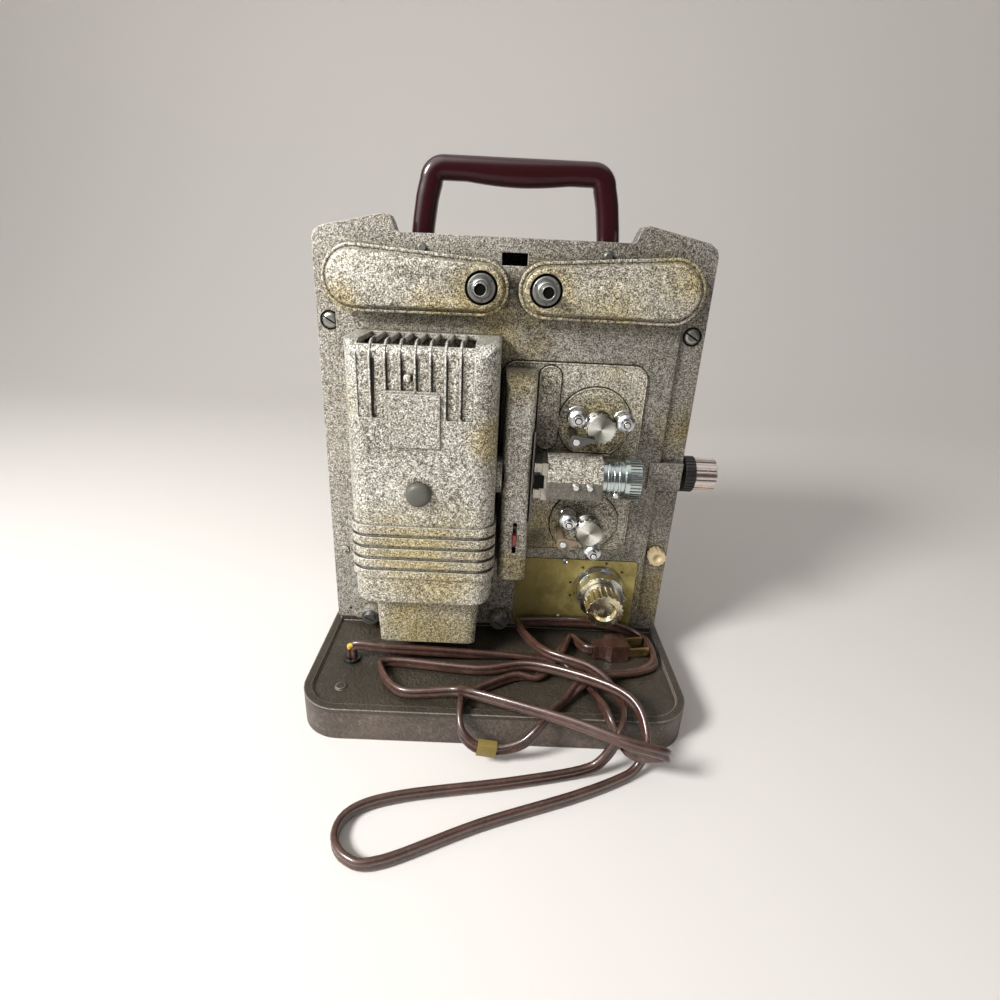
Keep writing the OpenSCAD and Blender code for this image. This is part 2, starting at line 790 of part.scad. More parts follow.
// Plan of the gate housing with two round front edges
module gate_plan(inset) {
    r = 5.5 - inset;
    x0 = gate_x0 + inset;
    x1 = gate_x1 - inset;
    y0 = gate_y + inset;
    translate([x0, y0 + r]) square([x1 - x0, plate_y - y0 - r + (inset > 0 ? eps : 0)]);
    translate([x0 + r, y0]) square([x1 - x0 - 2 * r, plate_y - y0]);
    for (x = [x0 + r, x1 - r]) translate([x, y0 + r]) circle(r);
}

// Side view of the gate housing with a round top
module gate_side(inset) {
    r = 12 - inset;
    z0 = gate_bottom + inset;
    z1 = gate_top - inset;
    translate([gate_y + inset, z0]) square([-gate_y, z1 - z0 - r]);
    translate([gate_y + inset + r, z0]) square([-gate_y - r, z1 - z0]);
    translate([gate_y + inset + r, z1 - r]) circle(r);
}

module gate_form(inset) {
    intersection() {
        translate([0, 0, gate_bottom]) linear_extrude(gate_top - gate_bottom) gate_plan(inset);
        slab_x(gate_x0 - 1, gate_x1 + 1) gate_side(inset);
    }
}

framing_x = 8.6;
framing_z = optic_z - 43;
framing_travel = 5.2;
framing_half = 3.6;
framing_slot = framing_half + framing_travel + 2.7;

module gate_housing() {
    color("#8d8674") {
        difference() {
            gate_form(0);
            gate_form(gate_wall);
            rod_x(optic_y, optic_z, gate_x0 - eps, gate_x0 + gate_wall + eps, 9);
            rod_x(optic_y, optic_z, gate_x1 - gate_wall - eps, gate_x1 + eps, 5);
            box([framing_x - 1.4, gate_y - eps, framing_z - framing_slot],
                [framing_x + 1.4, gate_y + gate_wall + eps, framing_z + framing_slot]);
        }
        difference() {
            rod_x(optic_y, optic_z, condenser_x[0] - 3.2, gate_x0, condenser_r + 1.6);
            rod_x(optic_y, optic_z, condenser_x[0] - 4, gate_x0 + eps, condenser_r);
        }
    }
}

module framing_lever() {
    y_in = gate_y + gate_wall;
    color("#a3120f") {
        box([framing_x - 1.1, gate_y - 3.5, framing_z - framing_half],
            [framing_x + 1.1, y_in + gap, framing_z + framing_half]);
        box([framing_x - 4, y_in + gap, framing_z - 8], [framing_x + 4, y_in + gap + 1.3, framing_z + 8]);
    }
}

module aperture_plate() {
    color("silver") difference() {
        box([gate_x1, gate_y + 1.5, optic_z - 32], [gate_x1 + aperture_t, plate_y - 0.5, optic_z + 32]);
        box([gate_x1 - eps, optic_y - 2.4, optic_z - 1.8], [shoe_x, optic_y + 2.4, optic_z + 1.8]);
    }
}

shoe_half = 12;

module gate_shoe() {
    x1 = shoe_x + shoe_w;
    color("silver") difference() {
        union() {
            box([shoe_x, gate_y - 1.5, optic_z - shoe_half], [x1, optic_y + 9, optic_z + shoe_half]);
            box([x1, gate_y - 3, optic_z - shoe_half - 0.8],
                [holder_x, optic_y + 10, optic_z + shoe_half + 0.8]);
        }
        box([shoe_x - eps, gate_y - 2, optic_z - 6], [x1 - 1.2, gate_y + 4, optic_z + 6]);
        rod_x(optic_y, optic_z, shoe_x - eps, holder_x + eps, 4.5);
    }
}

focus_travel = 2.5;
barrel_x0 = holder_x + 5.5 + focus_travel;
ring_x0 = holder_x + holder_len + 15;
ring_w = 10.5;
barrel_x1 = ring_x0 + ring_w - 3;
barrel_wall = 2.1;
lens_screw_x = [holder_x + 18.5, holder_x + 27.5];
facet_y = optic_y - holder_r;

module lens_holder() {
    color("#8f8876") difference() {
        union() {
            rod_x(optic_y, optic_z, holder_x, holder_x + holder_len, holder_r);
            box([holder_x, facet_y, optic_z - 11], [holder_x + holder_len, optic_y, optic_z + 5]);
            box([holder_x + 5, optic_y, optic_z - 9],
                [holder_x + holder_len - 5, plate_y - gap, optic_z + 9]);
        }
        rod_x(optic_y, optic_z, holder_x + 4, holder_x + holder_len + eps, lens_r + run_gap);
        rod_x(optic_y, optic_z, holder_x - eps, holder_x + 4 + eps, 9);
        for (x = lens_screw_x) rod_y(x, optic_z - 2, facet_y - eps, facet_y + 2.2, 1.1);
    }
}

module lens_screws() {
    color("silver") for (x = lens_screw_x) {
        translate([x, facet_y, optic_z - 2]) rotate([90, 0, 0]) cylinder(r1 = 2.9, r2 = 1.7, h = 2.2);
        rod_y(x, optic_z - 2, facet_y, facet_y + 2, 1);
    }
}

module lens_barrel() {
    color("#c9ced0") difference() {
        rod_x(optic_y, optic_z, barrel_x0, barrel_x1, lens_r);
        rod_x(optic_y, optic_z, barrel_x0 - eps, barrel_x1 + eps, lens_r - barrel_wall);
    }
}

module focus_ring() {
    flutes = 36;
    color("#b9bec0") difference() {
        rod_x(optic_y, optic_z, ring_x0, ring_x0 + ring_w, focus_ring_r);
        rod_x(optic_y, optic_z, ring_x0 - eps, ring_x0 + ring_w + eps, lens_r + run_gap);
        for (i = [0:flutes - 1]) translate([ring_x0 + 3, optic_y, optic_z])
            rotate([(i + 0.5) * 360 / flutes, 0, 0])
            translate([0, -focus_ring_r - 0.5, -0.55]) cube([ring_w, 1.2, 1.1]);
    }
}

module lens_glass() {
    r = lens_r - barrel_wall - run_gap / 2;
    ends = [[barrel_x0 + 6, -90], [barrel_x1 - 7, 90]];
    color("#7d8fb0") for (e = ends) translate([e[0], optic_y, optic_z]) rotate([0, e[1], 0])
        intersection() {
            cylinder(r = r, h = 5);
            translate([0, 0, 5 - 22]) sphere(22);
        }
}

// A round pad with a flat lower edge behind one sprocket
module sprocket_pad(z, z_low) {
    difference() {
        rod_y(sprocket_x - 1, z - 2, pad_y, plate_y, 24.3);
        box([sprocket_x - 30, pad_y - eps, z - 40], [sprocket_x + 30, plate_y + eps, z_low]);
    }
}

module sprocket_plate() {
    color("#8b8463") difference() {
        union() {
            slab_y(plate_y, panel_y) rounded([plate_x0, plate_z0], [plate_x1, plate_z1], 9.5);
            slab_y(pad_y, plate_y) rounded([20, optic_z + 13.2], [34.4, optic_z + 69.5], 7);
            sprocket_pad(upper_z, optic_z + 12);
            sprocket_pad(lower_z, plate_z0 + 1);
            rod_y(43.9, optic_z + 63.5, plate_y - 1, plate_y, 3);
            for (z = [upper_z, lower_z]) rod_y(sprocket_x, z, panel_y, 8, 6);
            for (z = [optic_z - 11.5, optic_z + 9.5])
                box([holder_x + 2, plate_y - 3, z], [holder_x + holder_len + 8, plate_y, z + 2]);
            worm_bearing(cut_z0 + 1.5);
            worm_bearing(cut_z1 - 6.5);
        }
        for (z = [upper_z, lower_z])
            rod_y(sprocket_x, z, pad_y - eps, 8 + eps, sprocket_shaft_r + run_gap);
        rod_z(worm_x, worm_y, cut_z0, cut_z1, 2.5 + run_gap);
        box([shutter_x - 2.4, plate_y - eps, optic_z - 42], [shutter_x + 2.4, panel_y + eps, optic_z + 34]);
        for (i = [0:3]) rod_y(roller_xz(i)[0], roller_xz(i)[1], pad_y - eps, panel_y + eps, stud_r);
        for (p = lever_pivots) rod_y(p[0], p[1], pad_y - eps, panel_y + eps, stud_r);
    }
}

// A lug behind the plate that carries one end of the worm shaft
module worm_bearing(z) {
    box([worm_x - 5, panel_y, z], [worm_x + 5, worm_y, z + 5]);
    rod_z(worm_x, worm_y, z, z + 5, 5);
}

roller_angles = [upper_left_angle, upper_right_angle, lower_left_angle, lower_right_angle];
function roller_xz(i) = [sprocket_x, i < 2 ? upper_z : lower_z]
    + roller_reach * [cos(roller_angles[i]), sin(roller_angles[i])];
lever_pivots = [[sprocket_x, upper_z] + upper_lever, [sprocket_x, lower_z] + lower_lever];

module control_plate() {
    color("#a08a3c") difference() {
        slab_y(panel_y - control_t, panel_y) rounded([control_x0, control_z0], [control_x1, control_z1], 3);
        rod_y(selector_x, selector_z, panel_y - control_t - eps, panel_y + eps, 5 + run_gap);
    }
}

// One sprocket on its shaft: a drum with a row of teeth at its outer edge and a turned front
module sprocket(z) {
    color("silver") translate([sprocket_x, 0, z]) rotate([-90, 0, 0]) {
        translate([0, 0, sprocket_back]) cylinder(r = sprocket_r, h = 3);
        translate([0, 0, sprocket_front + 3.5]) cylinder(r = sprocket_r - 1.6, h = 9);
        translate([0, 0, sprocket_front + 1]) cylinder(r = sprocket_r, h = 3.4);
        translate([0, 0, sprocket_front]) cylinder(r1 = sprocket_r - 0.9, r2 = sprocket_r - 0.2, h = 1);
        for (i = [0:sprocket_teeth - 1]) rotate([0, 0, i * 360 / sprocket_teeth])
            translate([sprocket_r - 0.4, 0, sprocket_front + 2.3]) sprocket_tooth();
        translate([0, 0, sprocket_back + 3]) cylinder(r = 5, h = 6);
        translate([0, 0, sprocket_back + 3]) cylinder(r = sprocket_shaft_r, h = worm_y + 18);
    }
}

module sprocket_tooth() {
    rotate([90, 0, 0]) translate([0, 0, -0.6]) linear_extrude(1.2)
        polygon([[0, 0], [0.4 + tooth_h, 0.35], [0.4 + tooth_h, 0.85], [0, 1.2]]);
}

module upper_sprocket() {
    sprocket(upper_z);
}

module lower_sprocket() {
    sprocket(lower_z);
}

// A film roller with two shoulders and a groove that lets the teeth pass
module roller(i) {
    xz = roller_xz(i);
    bore = stud_r + run_gap;
    color("silver") translate([xz[0], 0, xz[1]]) rotate([-90, 0, 0]) rotate_extrude() polygon([
        [bore, roller_front], [3.9, roller_front], [roller_r, roller_front + 1.4],
        [roller_r, roller_front + 1.6], [roller_r - 0.9, roller_front + 1.8],
        [roller_r - 0.9, roller_front + 4], [roller_r, roller_front + 4.2], [roller_r, roller_back - 2.6],
        [roller_r + 0.5, roller_back - 2.2], [roller_r + 0.5, roller_back], [bore, roller_back]
    ]);
}

module roller_studs() {
    color("silver") {
        for (i = [0:3]) {
            xz = roller_xz(i);
            rod_y(xz[0], xz[1], sprocket_front, panel_y, stud_r);
            rod_y(xz[0], xz[1], roller_back + gap, pad_y, 3);
            rod_y(xz[0], xz[1], roller_front - 2.8, roller_front - gap, 3);
            rod_y(xz[0], xz[1], roller_front - 3.6, roller_front - 2.8, 1.7);
        }
        for (p = lever_pivots) {
            rod_y(p[0], p[1], lever_front - gap, panel_y, stud_r);
            rod_y(p[0], p[1], lever_front - 1.3, lever_front - gap, 2.1);
        }
    }
}

// A drop-shaped lever whose point covers the sprocket's edge
module film_lever(pivot, angle) {
    difference() {
        union() {
            slab_y(lever_front, lever_back) translate(pivot) rotate(angle)
                tapered_link(lever_len, lever_head_r, 0.9);
            rod_y(pivot[0], pivot[1], lever_back, pad_y - gap, 3);
        }
        rod_y(pivot[0], pivot[1], lever_front - eps, pad_y, stud_r + run_gap);
    }
}

module upper_film_lever() {
    color("#3b3a38") film_lever(lever_pivots[0], 8);
}

module lower_film_lever() {
    color("#b98a52") film_lever(lever_pivots[1], 5);
}

collar_back = panel_y - control_t - gap;
collar_front = collar_back - selector_depth;

module selector_collar() {
    scallops = 6;
    color("#c4c6bd") difference() {
        union() {
            translate([selector_x, collar_back, selector_z]) rotate([90, 0, 0])
                cylinder(r1 = selector_r, r2 = selector_r - 2.2, h = 4);
            rod_y(selector_x, selector_z, collar_front, collar_back - 3.9, selector_r - 2.2);
            translate([selector_x, 0, selector_z]) rotate([0, 180 - off_angle + 180, 0])
                box([-selector_r - 0.6, collar_front + 5, -1.4], [-selector_r + 4, collar_back, 1.4]);
            rod_y(selector_x, selector_z, collar_back - 1, 16, 5);
        }
        for (i = [0:scallops - 1]) translate([selector_x, 0, selector_z])
            rotate([0, i * 360 / scallops + 40, 0])
            rod_y(selector_r + 16.2, 0, collar_front - eps, collar_back - 4, 19.5);
        rod_y(selector_x, selector_z, collar_front - eps, 17, 3 + run_gap);
    }
}

speed_front = collar_front - gap - 18.5;

module speed_knob() {
    flutes = 20;
    color("#cfcab4") difference() {
        union() {
            rod_y(selector_x, selector_z, speed_front, collar_front - gap, speed_knob_r);
            rod_y(selector_x, selector_z, collar_front - gap, 22, 3);
        }
        for (i = [0:flutes - 1]) translate([selector_x, 0, selector_z]) rotate([0, i * 360 / flutes, 0])
            rod_y(speed_knob_r + 0.5, 0, speed_front - eps, speed_front + 14, 1.3);
        translate([selector_x, speed_front - eps, selector_z]) rotate([-90, 0, 0])
            cylinder(r1 = 8.6, r2 = 6.5, h = 3.5);
    }
}

module selector_switch() {
    color("#4b3a2a") difference() {
        box([selector_x - 16, frame_wall, selector_z - 15],
            [selector_x + 16, frame_wall + 20, selector_z + 15]);
        rod_y(selector_x, selector_z, frame_wall - eps, frame_wall + 12.5, 5.2);
        rod_y(selector_x, selector_z, frame_wall, frame_wall + 19, 3.2);
    }
}

module side_knob() {
    flutes = 12;
    color("#cdbb8c") {
        difference() {
            rod_y(side_knob_x, side_knob_z, -8.6, -gap, side_knob_r);
            for (i = [0:flutes - 1]) translate([side_knob_x, 0, side_knob_z]) rotate([0, i * 360 / flutes, 0])
                rod_y(side_knob_r + 0.6, 0, -9, 0, 1.3);
            translate([side_knob_x, -8.6 - eps, side_knob_z]) rotate([-90, 0, 0])
                cylinder(r1 = 4.6, r2 = 1, h = 3);
        }
        rod_y(side_knob_x, side_knob_z, -gap, frame_wall + 3, 2);
        rod_y(side_knob_x, side_knob_z, frame_wall + gap, frame_wall + 2.5, 4);
    }
}

disc_x0 = frame_x + 2;
knob_x0 = disc_x0 + 7;
knob_x1 = knob_x0 + 15;

module inching_disc() {
    flutes = 30;
    color("#1e1c1b") difference() {
        rod_x(inching_y, inching_z, disc_x0, knob_x0, inching_knob_r + 1.1);
        rod_x(inching_y, inching_z, disc_x0 - eps, knob_x0 + eps, shaft_r);
        for (i = [0:flutes - 1]) translate([disc_x0, inching_y, inching_z]) rotate([i * 360 / flutes, 0, 0])
            translate([-eps, -inching_knob_r - 1.4, -0.5]) cube([9, 0.9, 1]);
    }
}

module inching_knob() {
    flutes = 12;
    color("#c9ccc9") difference() {
        rod_x(inching_y, inching_z, knob_x0, knob_x1, inching_knob_r);
        for (i = [0:flutes - 1]) translate([knob_x0, inching_y, inching_z]) rotate([i * 360 / flutes, 0, 0])
            rod_x(-inching_knob_r - 1.1, 0, -eps, 16, 2.1);
        rod_x(inching_y, inching_z, knob_x0 - eps, knob_x1 - 3, shaft_r);
    }
}

// The main shaft with its helical pinion and small pulley
module main_shaft() {
    color("silver") {
        rod_x(inching_y, inching_z, shutter_x - 3, knob_x1 - 3, shaft_r);
        rod_x(inching_y, inching_z, worm_x - 5, worm_x + 4, helix_r);
        pulley_x(inching_y, inching_z, small_pulley_r, shaft_r);
    }
}

// A grooved pulley in the belt's plane
module pulley_x(y, z, r, hub) {
    translate([belt_x, y, z]) rotate([0, 90, 0]) rotate_extrude() polygon([
        [0, -4], [r, -4], [r, -2.4], [r - 2, -belt_w / 2], [r - 2, belt_w / 2], [r, 2.4], [r, 4], [0, 4]
    ]);
}

module shutter() {
    blades = 3;
    color("#22211f") difference() {
        union() {
            rod_x(inching_y, inching_z, shutter_x - 0.5, shutter_x + 0.5, shutter_r);
            rod_x(inching_y, inching_z, shutter_x - 0.5, shutter_x + 5, 5.2);
        }
        rod_x(inching_y, inching_z, shutter_x - 1, shutter_x + 6, shaft_r);
        for (i = [0:blades - 1]) translate([shutter_x, inching_y, inching_z])
            rotate([i * 360 / blades, 0, 0]) intersection() {
                difference() {
                    rod_x(0, 0, -1, 1, shutter_r + 1);
                    rod_x(0, 0, -2, 2, 9);
                }
                slab_x(-2, 2) polygon([[0, 0], [40, -23], [40, 23]]);
            }
    }
}

// The upright shaft that turns both sprockets through its two worms
module worm_shaft() {
    color("silver") {
        rod_z(worm_x, worm_y, cut_z0 + 0.5, cut_z1 - 0.5, 2.5);
        for (z = [upper_z, lower_z]) rod_z(worm_x, worm_y, z - 8, z + 8, worm_r);
        rod_z(worm_x, worm_y, inching_z - 5, inching_z + 5, helix_r);
    }
}

module worm_wheel(z) {
    teeth = 20;
    color("#8a5a34") translate([sprocket_x, worm_y - gear_t / 2, z]) rotate([-90, 0, 0]) difference() {
        union() {
            cylinder(r = gear_r - 1.6, h = gear_t);
            for (i = [0:teeth - 1]) rotate([0, 0, (i + 0.5) * 360 / teeth])
                translate([0, -0.9, 0]) cube([gear_r, 1.8, gear_t]);
        }
        translate([0, 0, -eps]) cylinder(r = sprocket_shaft_r, h = gear_t + 2 * eps);
    }
}

module upper_gear() {
    worm_wheel(upper_z);
}

module lower_gear() {
    worm_wheel(lower_z);
}

module motor() {
    x1 = motor_x0 + motor_len;
    color("#3d3f42") difference() {
        union() {
            rod_x(motor_y, motor_z, motor_x0, x1, motor_r);
            rod_x(motor_y, motor_z, x1, x1 + 3, 9);
            for (x = [motor_x0 + motor_foot_end, x1 - motor_foot_end - motor_foot_t])
                box([x, motor_y - motor_foot_half, deck_z],
                    [x + motor_foot_t, motor_y + motor_foot_half, motor_z - motor_r * 0.7]);
        }
        rod_x(motor_y, motor_z, motor_x0 - eps, x1 + 4, motor_shaft_r + run_gap);
    }
}

module motor_pulley() {
    color("silver") {
        rod_x(motor_y, motor_z, motor_x0 - 4 - fan_w, belt_x + 6, motor_shaft_r);
        pulley_x(motor_y, motor_z, small_pulley_r, motor_shaft_r);
    }
}

module blower_fan() {
    blades = 12;
    x1 = motor_x0 - 4;
    color("#6f7376") difference() {
        union() {
            rod_x(motor_y, motor_z, x1 - 1.5, x1, fan_r);
            rod_x(motor_y, motor_z, x1 - fan_w, x1, 8);
            for (i = [0:blades - 1]) translate([x1 - fan_w, motor_y, motor_z])
                rotate([i * 360 / blades, 0, 0]) translate([0, fan_r - 12, -0.6]) cube([fan_w, 11.5, 1.2]);
        }
        rod_x(motor_y, motor_z, x1 - fan_w - eps, x1 + eps, motor_shaft_r);
    }
}

// The belt runs round both grooved pulleys
module drive_belt() {
    r = small_pulley_r - 2 + 0.1;
    color("#1d1c1b") slab_x(belt_x - belt_w / 2 + 0.2, belt_x + belt_w / 2 - 0.2) difference() {
        belt_loop(r + 1.6);
        belt_loop(r);
    }
}

module belt_loop(r) {
    run = [inching_y - motor_y, inching_z - motor_z];
    translate([motor_y, motor_z]) rotate(atan2(run[1], run[0])) {
        circle(r);
        translate([norm(run), 0]) circle(r);
        translate([0, -r]) square([norm(run), 2 * r]);
    }
}

// A reel arm drawn for the right side: pivot at the outer end, spindle towards the middle
module reel_arm() {
    edge = 3.4;
    difference() {
        union() {
            slab_y(arm_back - arm_t * 0.72, arm_back) arm_outline(0);
            slab_y(arm_front, arm_back) arm_outline(edge);
            rod_y(arm_x, arm_z, arm_back - eps, frame_wall + 5, trunnion_r);
        }
        rod_y(spindle_x, spindle_z, arm_front - eps, arm_back - 3, 3 + run_gap);
        rod_y(spindle_x, spindle_z, arm_front - eps, arm_front + 1.2, spindle_flange_r + 1.6);
    }
    difference() {
        rod_y(arm_x, arm_z, frame_wall + gap, frame_wall + 4, trunnion_r + 3.5);
        rod_y(arm_x, arm_z, frame_wall, frame_wall + 6, trunnion_r);
    }
}

module arm_outline(inset) {
    translate([arm_x, arm_z]) rotate(180 + arm_lean)
        tapered_link(arm_reach, arm_pivot_r - inset, arm_tip_r - inset);
}

module left_arm() {
    color("#97907a") mirror([1, 0, 0]) reel_arm();
}

module right_arm() {
    color("#97907a") reel_arm();
}

// A reel spindle: a hollow nose with a drive key, a flange and a shaft in the arm
module reel_spindle() {
    flange_y = arm_front + 1.2 - gap;
    tip_y = flange_y - 3 - spindle_len;
    difference() {
        union() {
            rod_y(spindle_x, spindle_z, flange_y - 1, arm_back - 3.5, 3);
            rod_y(spindle_x, spindle_z, flange_y - 1.8, flange_y, spindle_flange_r);
            translate([spindle_x, flange_y - 1.8, spindle_z]) rotate([90, 0, 0])
                cylinder(r1 = 6.6, r2 = 5, h = 1.2);
            rod_y(spindle_x, spindle_z, tip_y, flange_y - 1, spindle_r);
            box([spindle_x - key_half, tip_y + 9, spindle_z],
                [spindle_x + key_half, flange_y - 1, spindle_z + spindle_r + key_proud]);
        }
        rod_y(spindle_x, spindle_z, tip_y - eps, tip_y + 12, spindle_r - 1.1);
    }
}

module left_spindle() {
    color("silver") mirror([1, 0, 0]) reel_spindle();
}

module right_spindle() {
    color("silver") reel_spindle();
}

// Points of the cord's centre line, and how far the flat cord leans over, in degrees
cord_points = [
    [-103, -47.8, 17, 0], [-102.8, -47.8, 27, 0], [-100, -47.9, 34, 0], [-76, -48.5, 33, 0],
    [-30, -45, 29, 0], [44, -43, 24.3, 90], [63, -66, 24.2, 90], [70, -92, 28, 0],
    [73, -103, 26.5, 0], [79, -112, 18, 0], [87, -121, 17, 0], [101, -131, 29, 0],
    [76, -131, 37, 0], [43, -117, 38.5, 0], [-12, -94, 35, 0], [-27, -85, 29, 0],
    [-61, -84, 26, 0], [-78, -65, 26, 0], [-74, -54, 26, 0], [-12, -60, 27, 0],
    [28, -59, 31.5, 0], [82, -89, 36.3, 0], [94, -112, 24, 0], [86, -122, 5, 0],
    [52, -139, 4, 0], [-6, -161, 4, 0], [-56, -184, 4, 0], [-74, -183, 4, 0],
    [-83, -171, 4, 0], [-78, -156, 4, 0], [-53, -145, 4, 0], [10, -133, 4, 0],
    [54, -123, 5, 0], [68, -120, 13, 0], [77, -114, 28.5, 0], [84, -91, 27.5, 0],
    [81, -80, 28, 0], [65, -66, 36.5, 0], [34, -49, 36.5, 0], [17, -17, 34, 0],
    [24, -8, 33, 0], [80, -7.5, 33.5, 0], [111, -14, 27, 0], [116, -40, 26, 30],
    [103, -51, 24.5, 90], [66, -66, 29.4, 90], [45, -87, 26, 0], [36, -99, 28.2, 0],
    [28, -110, 25, 0], [18, -115, 17, 0], [3, -116, 12, 0], [-11, -116, 14, 0],
    [-20, -111, 21, 0], [-22, -99, 28.2, 0], [-18, -84, 26, 0], [12, -65, 26.2, 0],
    [30, -62, 25, 70], [45, -42, 29.3, 90], [56, -18, 27, 20], [63, -28, 28, 0],
    [66, -33.5, 29, 0], [71, -34.5, 29, 0]
];
cord_lift = 0.25;
cord_step = 26;

// A point between two of the route's points, on a smooth curve through all of them
function route_point(p0, p1, p2, p3, t) =
    0.5 * (2 * p1 + (p2 - p0) * t + (2 * p0 - 5 * p1 + 4 * p2 - p3) * t * t
        + (3 * p1 - p0 - 3 * p2 + p3) * t * t * t);

function route_rings(points) = concat(
    [for (i = [0:len(points) - 2])
        let (p0 = points[max(i - 1, 0)], p1 = points[i], p2 = points[i + 1],
             p3 = points[min(i + 2, len(points) - 1)],
             run = norm([for (k = [0:2]) p2[k] - p1[k]]), steps = max(1, round(run / cord_step)))
        for (s = [0:steps - 1]) route_point(p0, p1, p2, p3, s / steps)],
    [points[len(points) - 1]]
);

module cord() {
    rings = route_rings(cord_points);
    last = len(rings) - 1;
    sides = 8;
    points = [for (i = [0:last])
        let (ahead = rings[min(i + 1, last)], behind = rings[max(i - 1, 0)],
             run = [for (k = [0:2]) ahead[k] - behind[k]], t = run / norm(run),
             flat = norm([t[0], t[1]]), across = [-t[1], t[0], 0] / flat, over = cross(t, across),
             lean = rings[i][3], side = across * cos(lean) + over * sin(lean),
             wide = over * cos(lean) - across * sin(lean))
        for (k = [0:sides - 1])
            let (a = 360 * (k + 0.5) / sides,
                 u = cord_t / 2 * sign(cos(a)) * pow(abs(cos(a)), 0.6),
                 v = cord_w / 2 * sign(sin(a)) * pow(abs(sin(a)), 0.6))
            [for (m = [0:2]) rings[i][m] + side[m] * u + wide[m] * v] + [0, 0, cord_lift]
    ];
    color("#5b3a34") polyhedron(points, [for (f = sweep_faces(last + 1, sides)) [f[0], f[2], f[1]]],
        convexity = 20);
}

tape_centre = [-4, -116.2, 13.2];

module cord_tape() {
    color("#b59a45") translate(tape_centre + [0, 0, cord_lift]) rotate([0, 8, 0]) difference() {
        cube([12, cord_t + 0.9, cord_w + 0.9], center = true);
        cube([14, cord_t + 0.1, cord_w + 0.1], center = true);
    }
}

plug_spot = [71, -34.5, 29];
plug_turn = 10.3;
plug_len = 27;
plug_half = 8.2;
plug_t = 13.4;

module plug() {
    color("#3d2420") translate(plug_spot) rotate([0, 0, plug_turn]) difference() {
        intersection() {
            translate([0, 0, -plug_t / 2]) linear_extrude(plug_t) polygon([
                [0, -4], [4, -3.6], [9, -5], [12, -plug_half], [25, -plug_half], [plug_len, -plug_half + 2],
                [plug_len, plug_half - 2], [25, plug_half], [12, plug_half], [9, 5], [4, 3.6], [0, 4]
            ]);
            translate([0, 10, 0]) rotate([90, 0, 0]) linear_extrude(20) polygon([
                [0, -5], [9, -5.6], [13, -plug_t / 2], [25, -plug_t / 2], [plug_len, 2 - plug_t / 2],
                [plug_len, plug_t / 2 - 2], [25, plug_t / 2], [13, plug_t / 2], [9, 5.6], [0, 5]
            ]);
        }
        for (side = [-1, 1]) translate([plug_len - 6, side * 6.35 - 0.75, -3.15]) cube([7, 1.5, 6.3]);
    }
}

module plug_prongs() {
    color("#b8923a") translate(plug_spot) rotate([0, 0, plug_turn])
        for (side = [-1, 1]) translate([plug_len - 6, side * 6.35 - 0.75, -3.15]) cube([20, 1.5, 6.3]);
}

module upper_left_roller() {
    roller(0);
}

module upper_right_roller() {
    roller(1);
}

module lower_left_roller() {
    roller(2);
}

module lower_right_roller() {
    roller(3);
}

base_tray();
bottom_cover();
base_screws();
cord_grommet();
front_frame();
frame_lugs();
sprocket_plate();
control_plate();
frame_screws();
rear_housing();
rear_screws();
handle();
handle_screws();
lamp_house();
lamp_house_latch();
lamp();
lamp_socket();
reflector();
condenser_lenses();
gate_housing();
framing_lever();
aperture_plate();
gate_shoe();
lens_holder();
lens_screws();
lens_barrel();
focus_ring();
lens_glass();
upper_sprocket();
lower_sprocket();
upper_left_roller();
upper_right_roller();
lower_left_roller();
lower_right_roller();
roller_studs();
upper_film_lever();
lower_film_lever();
selector_collar();
speed_knob();
selector_switch();
inching_knob();
inching_disc();
main_shaft();
shutter();
worm_shaft();
upper_gear();
lower_gear();
motor();
motor_pulley();
blower_fan();
drive_belt();
left_arm();
right_arm();
left_spindle();
right_spindle();
side_knob();
cord();
cord_tape();
plug();
plug_prongs();
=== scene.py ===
"""A portable film projector on a pale floor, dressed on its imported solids.

X runs to the right across the control face, Y to the rear and Z up from the table. The scene is in
metres. Most measures of the object are written in millimetres, and MM turns them into metres.
"""

import math

import bmesh
import bpy
from mathutils import Matrix, Vector


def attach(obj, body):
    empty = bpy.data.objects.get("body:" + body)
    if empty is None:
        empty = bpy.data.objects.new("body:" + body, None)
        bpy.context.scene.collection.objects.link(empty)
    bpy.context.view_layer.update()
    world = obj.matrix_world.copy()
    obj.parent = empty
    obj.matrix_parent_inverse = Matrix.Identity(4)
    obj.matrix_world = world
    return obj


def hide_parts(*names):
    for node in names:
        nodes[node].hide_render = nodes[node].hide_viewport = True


MM = 0.001

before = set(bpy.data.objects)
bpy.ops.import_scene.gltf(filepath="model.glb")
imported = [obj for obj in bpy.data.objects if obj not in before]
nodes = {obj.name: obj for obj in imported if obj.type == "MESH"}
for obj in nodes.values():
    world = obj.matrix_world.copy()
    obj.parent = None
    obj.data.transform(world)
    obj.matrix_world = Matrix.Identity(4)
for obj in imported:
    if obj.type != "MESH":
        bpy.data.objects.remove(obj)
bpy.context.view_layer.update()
scene = bpy.context.scene


# Camera: a phone held close, above the lens axis, looking down at the control face

CAMERA_AT = Vector((-5.972, -382.737, 289.810)) * MM
CAMERA_PITCH = math.radians(22.555)
CAMERA_YAW = math.radians(0.593)
CAMERA_ROLL = math.radians(2.7945)
SENSOR_MM = 36.0
LENS_MM = 20.604
NEAREST = 0.01


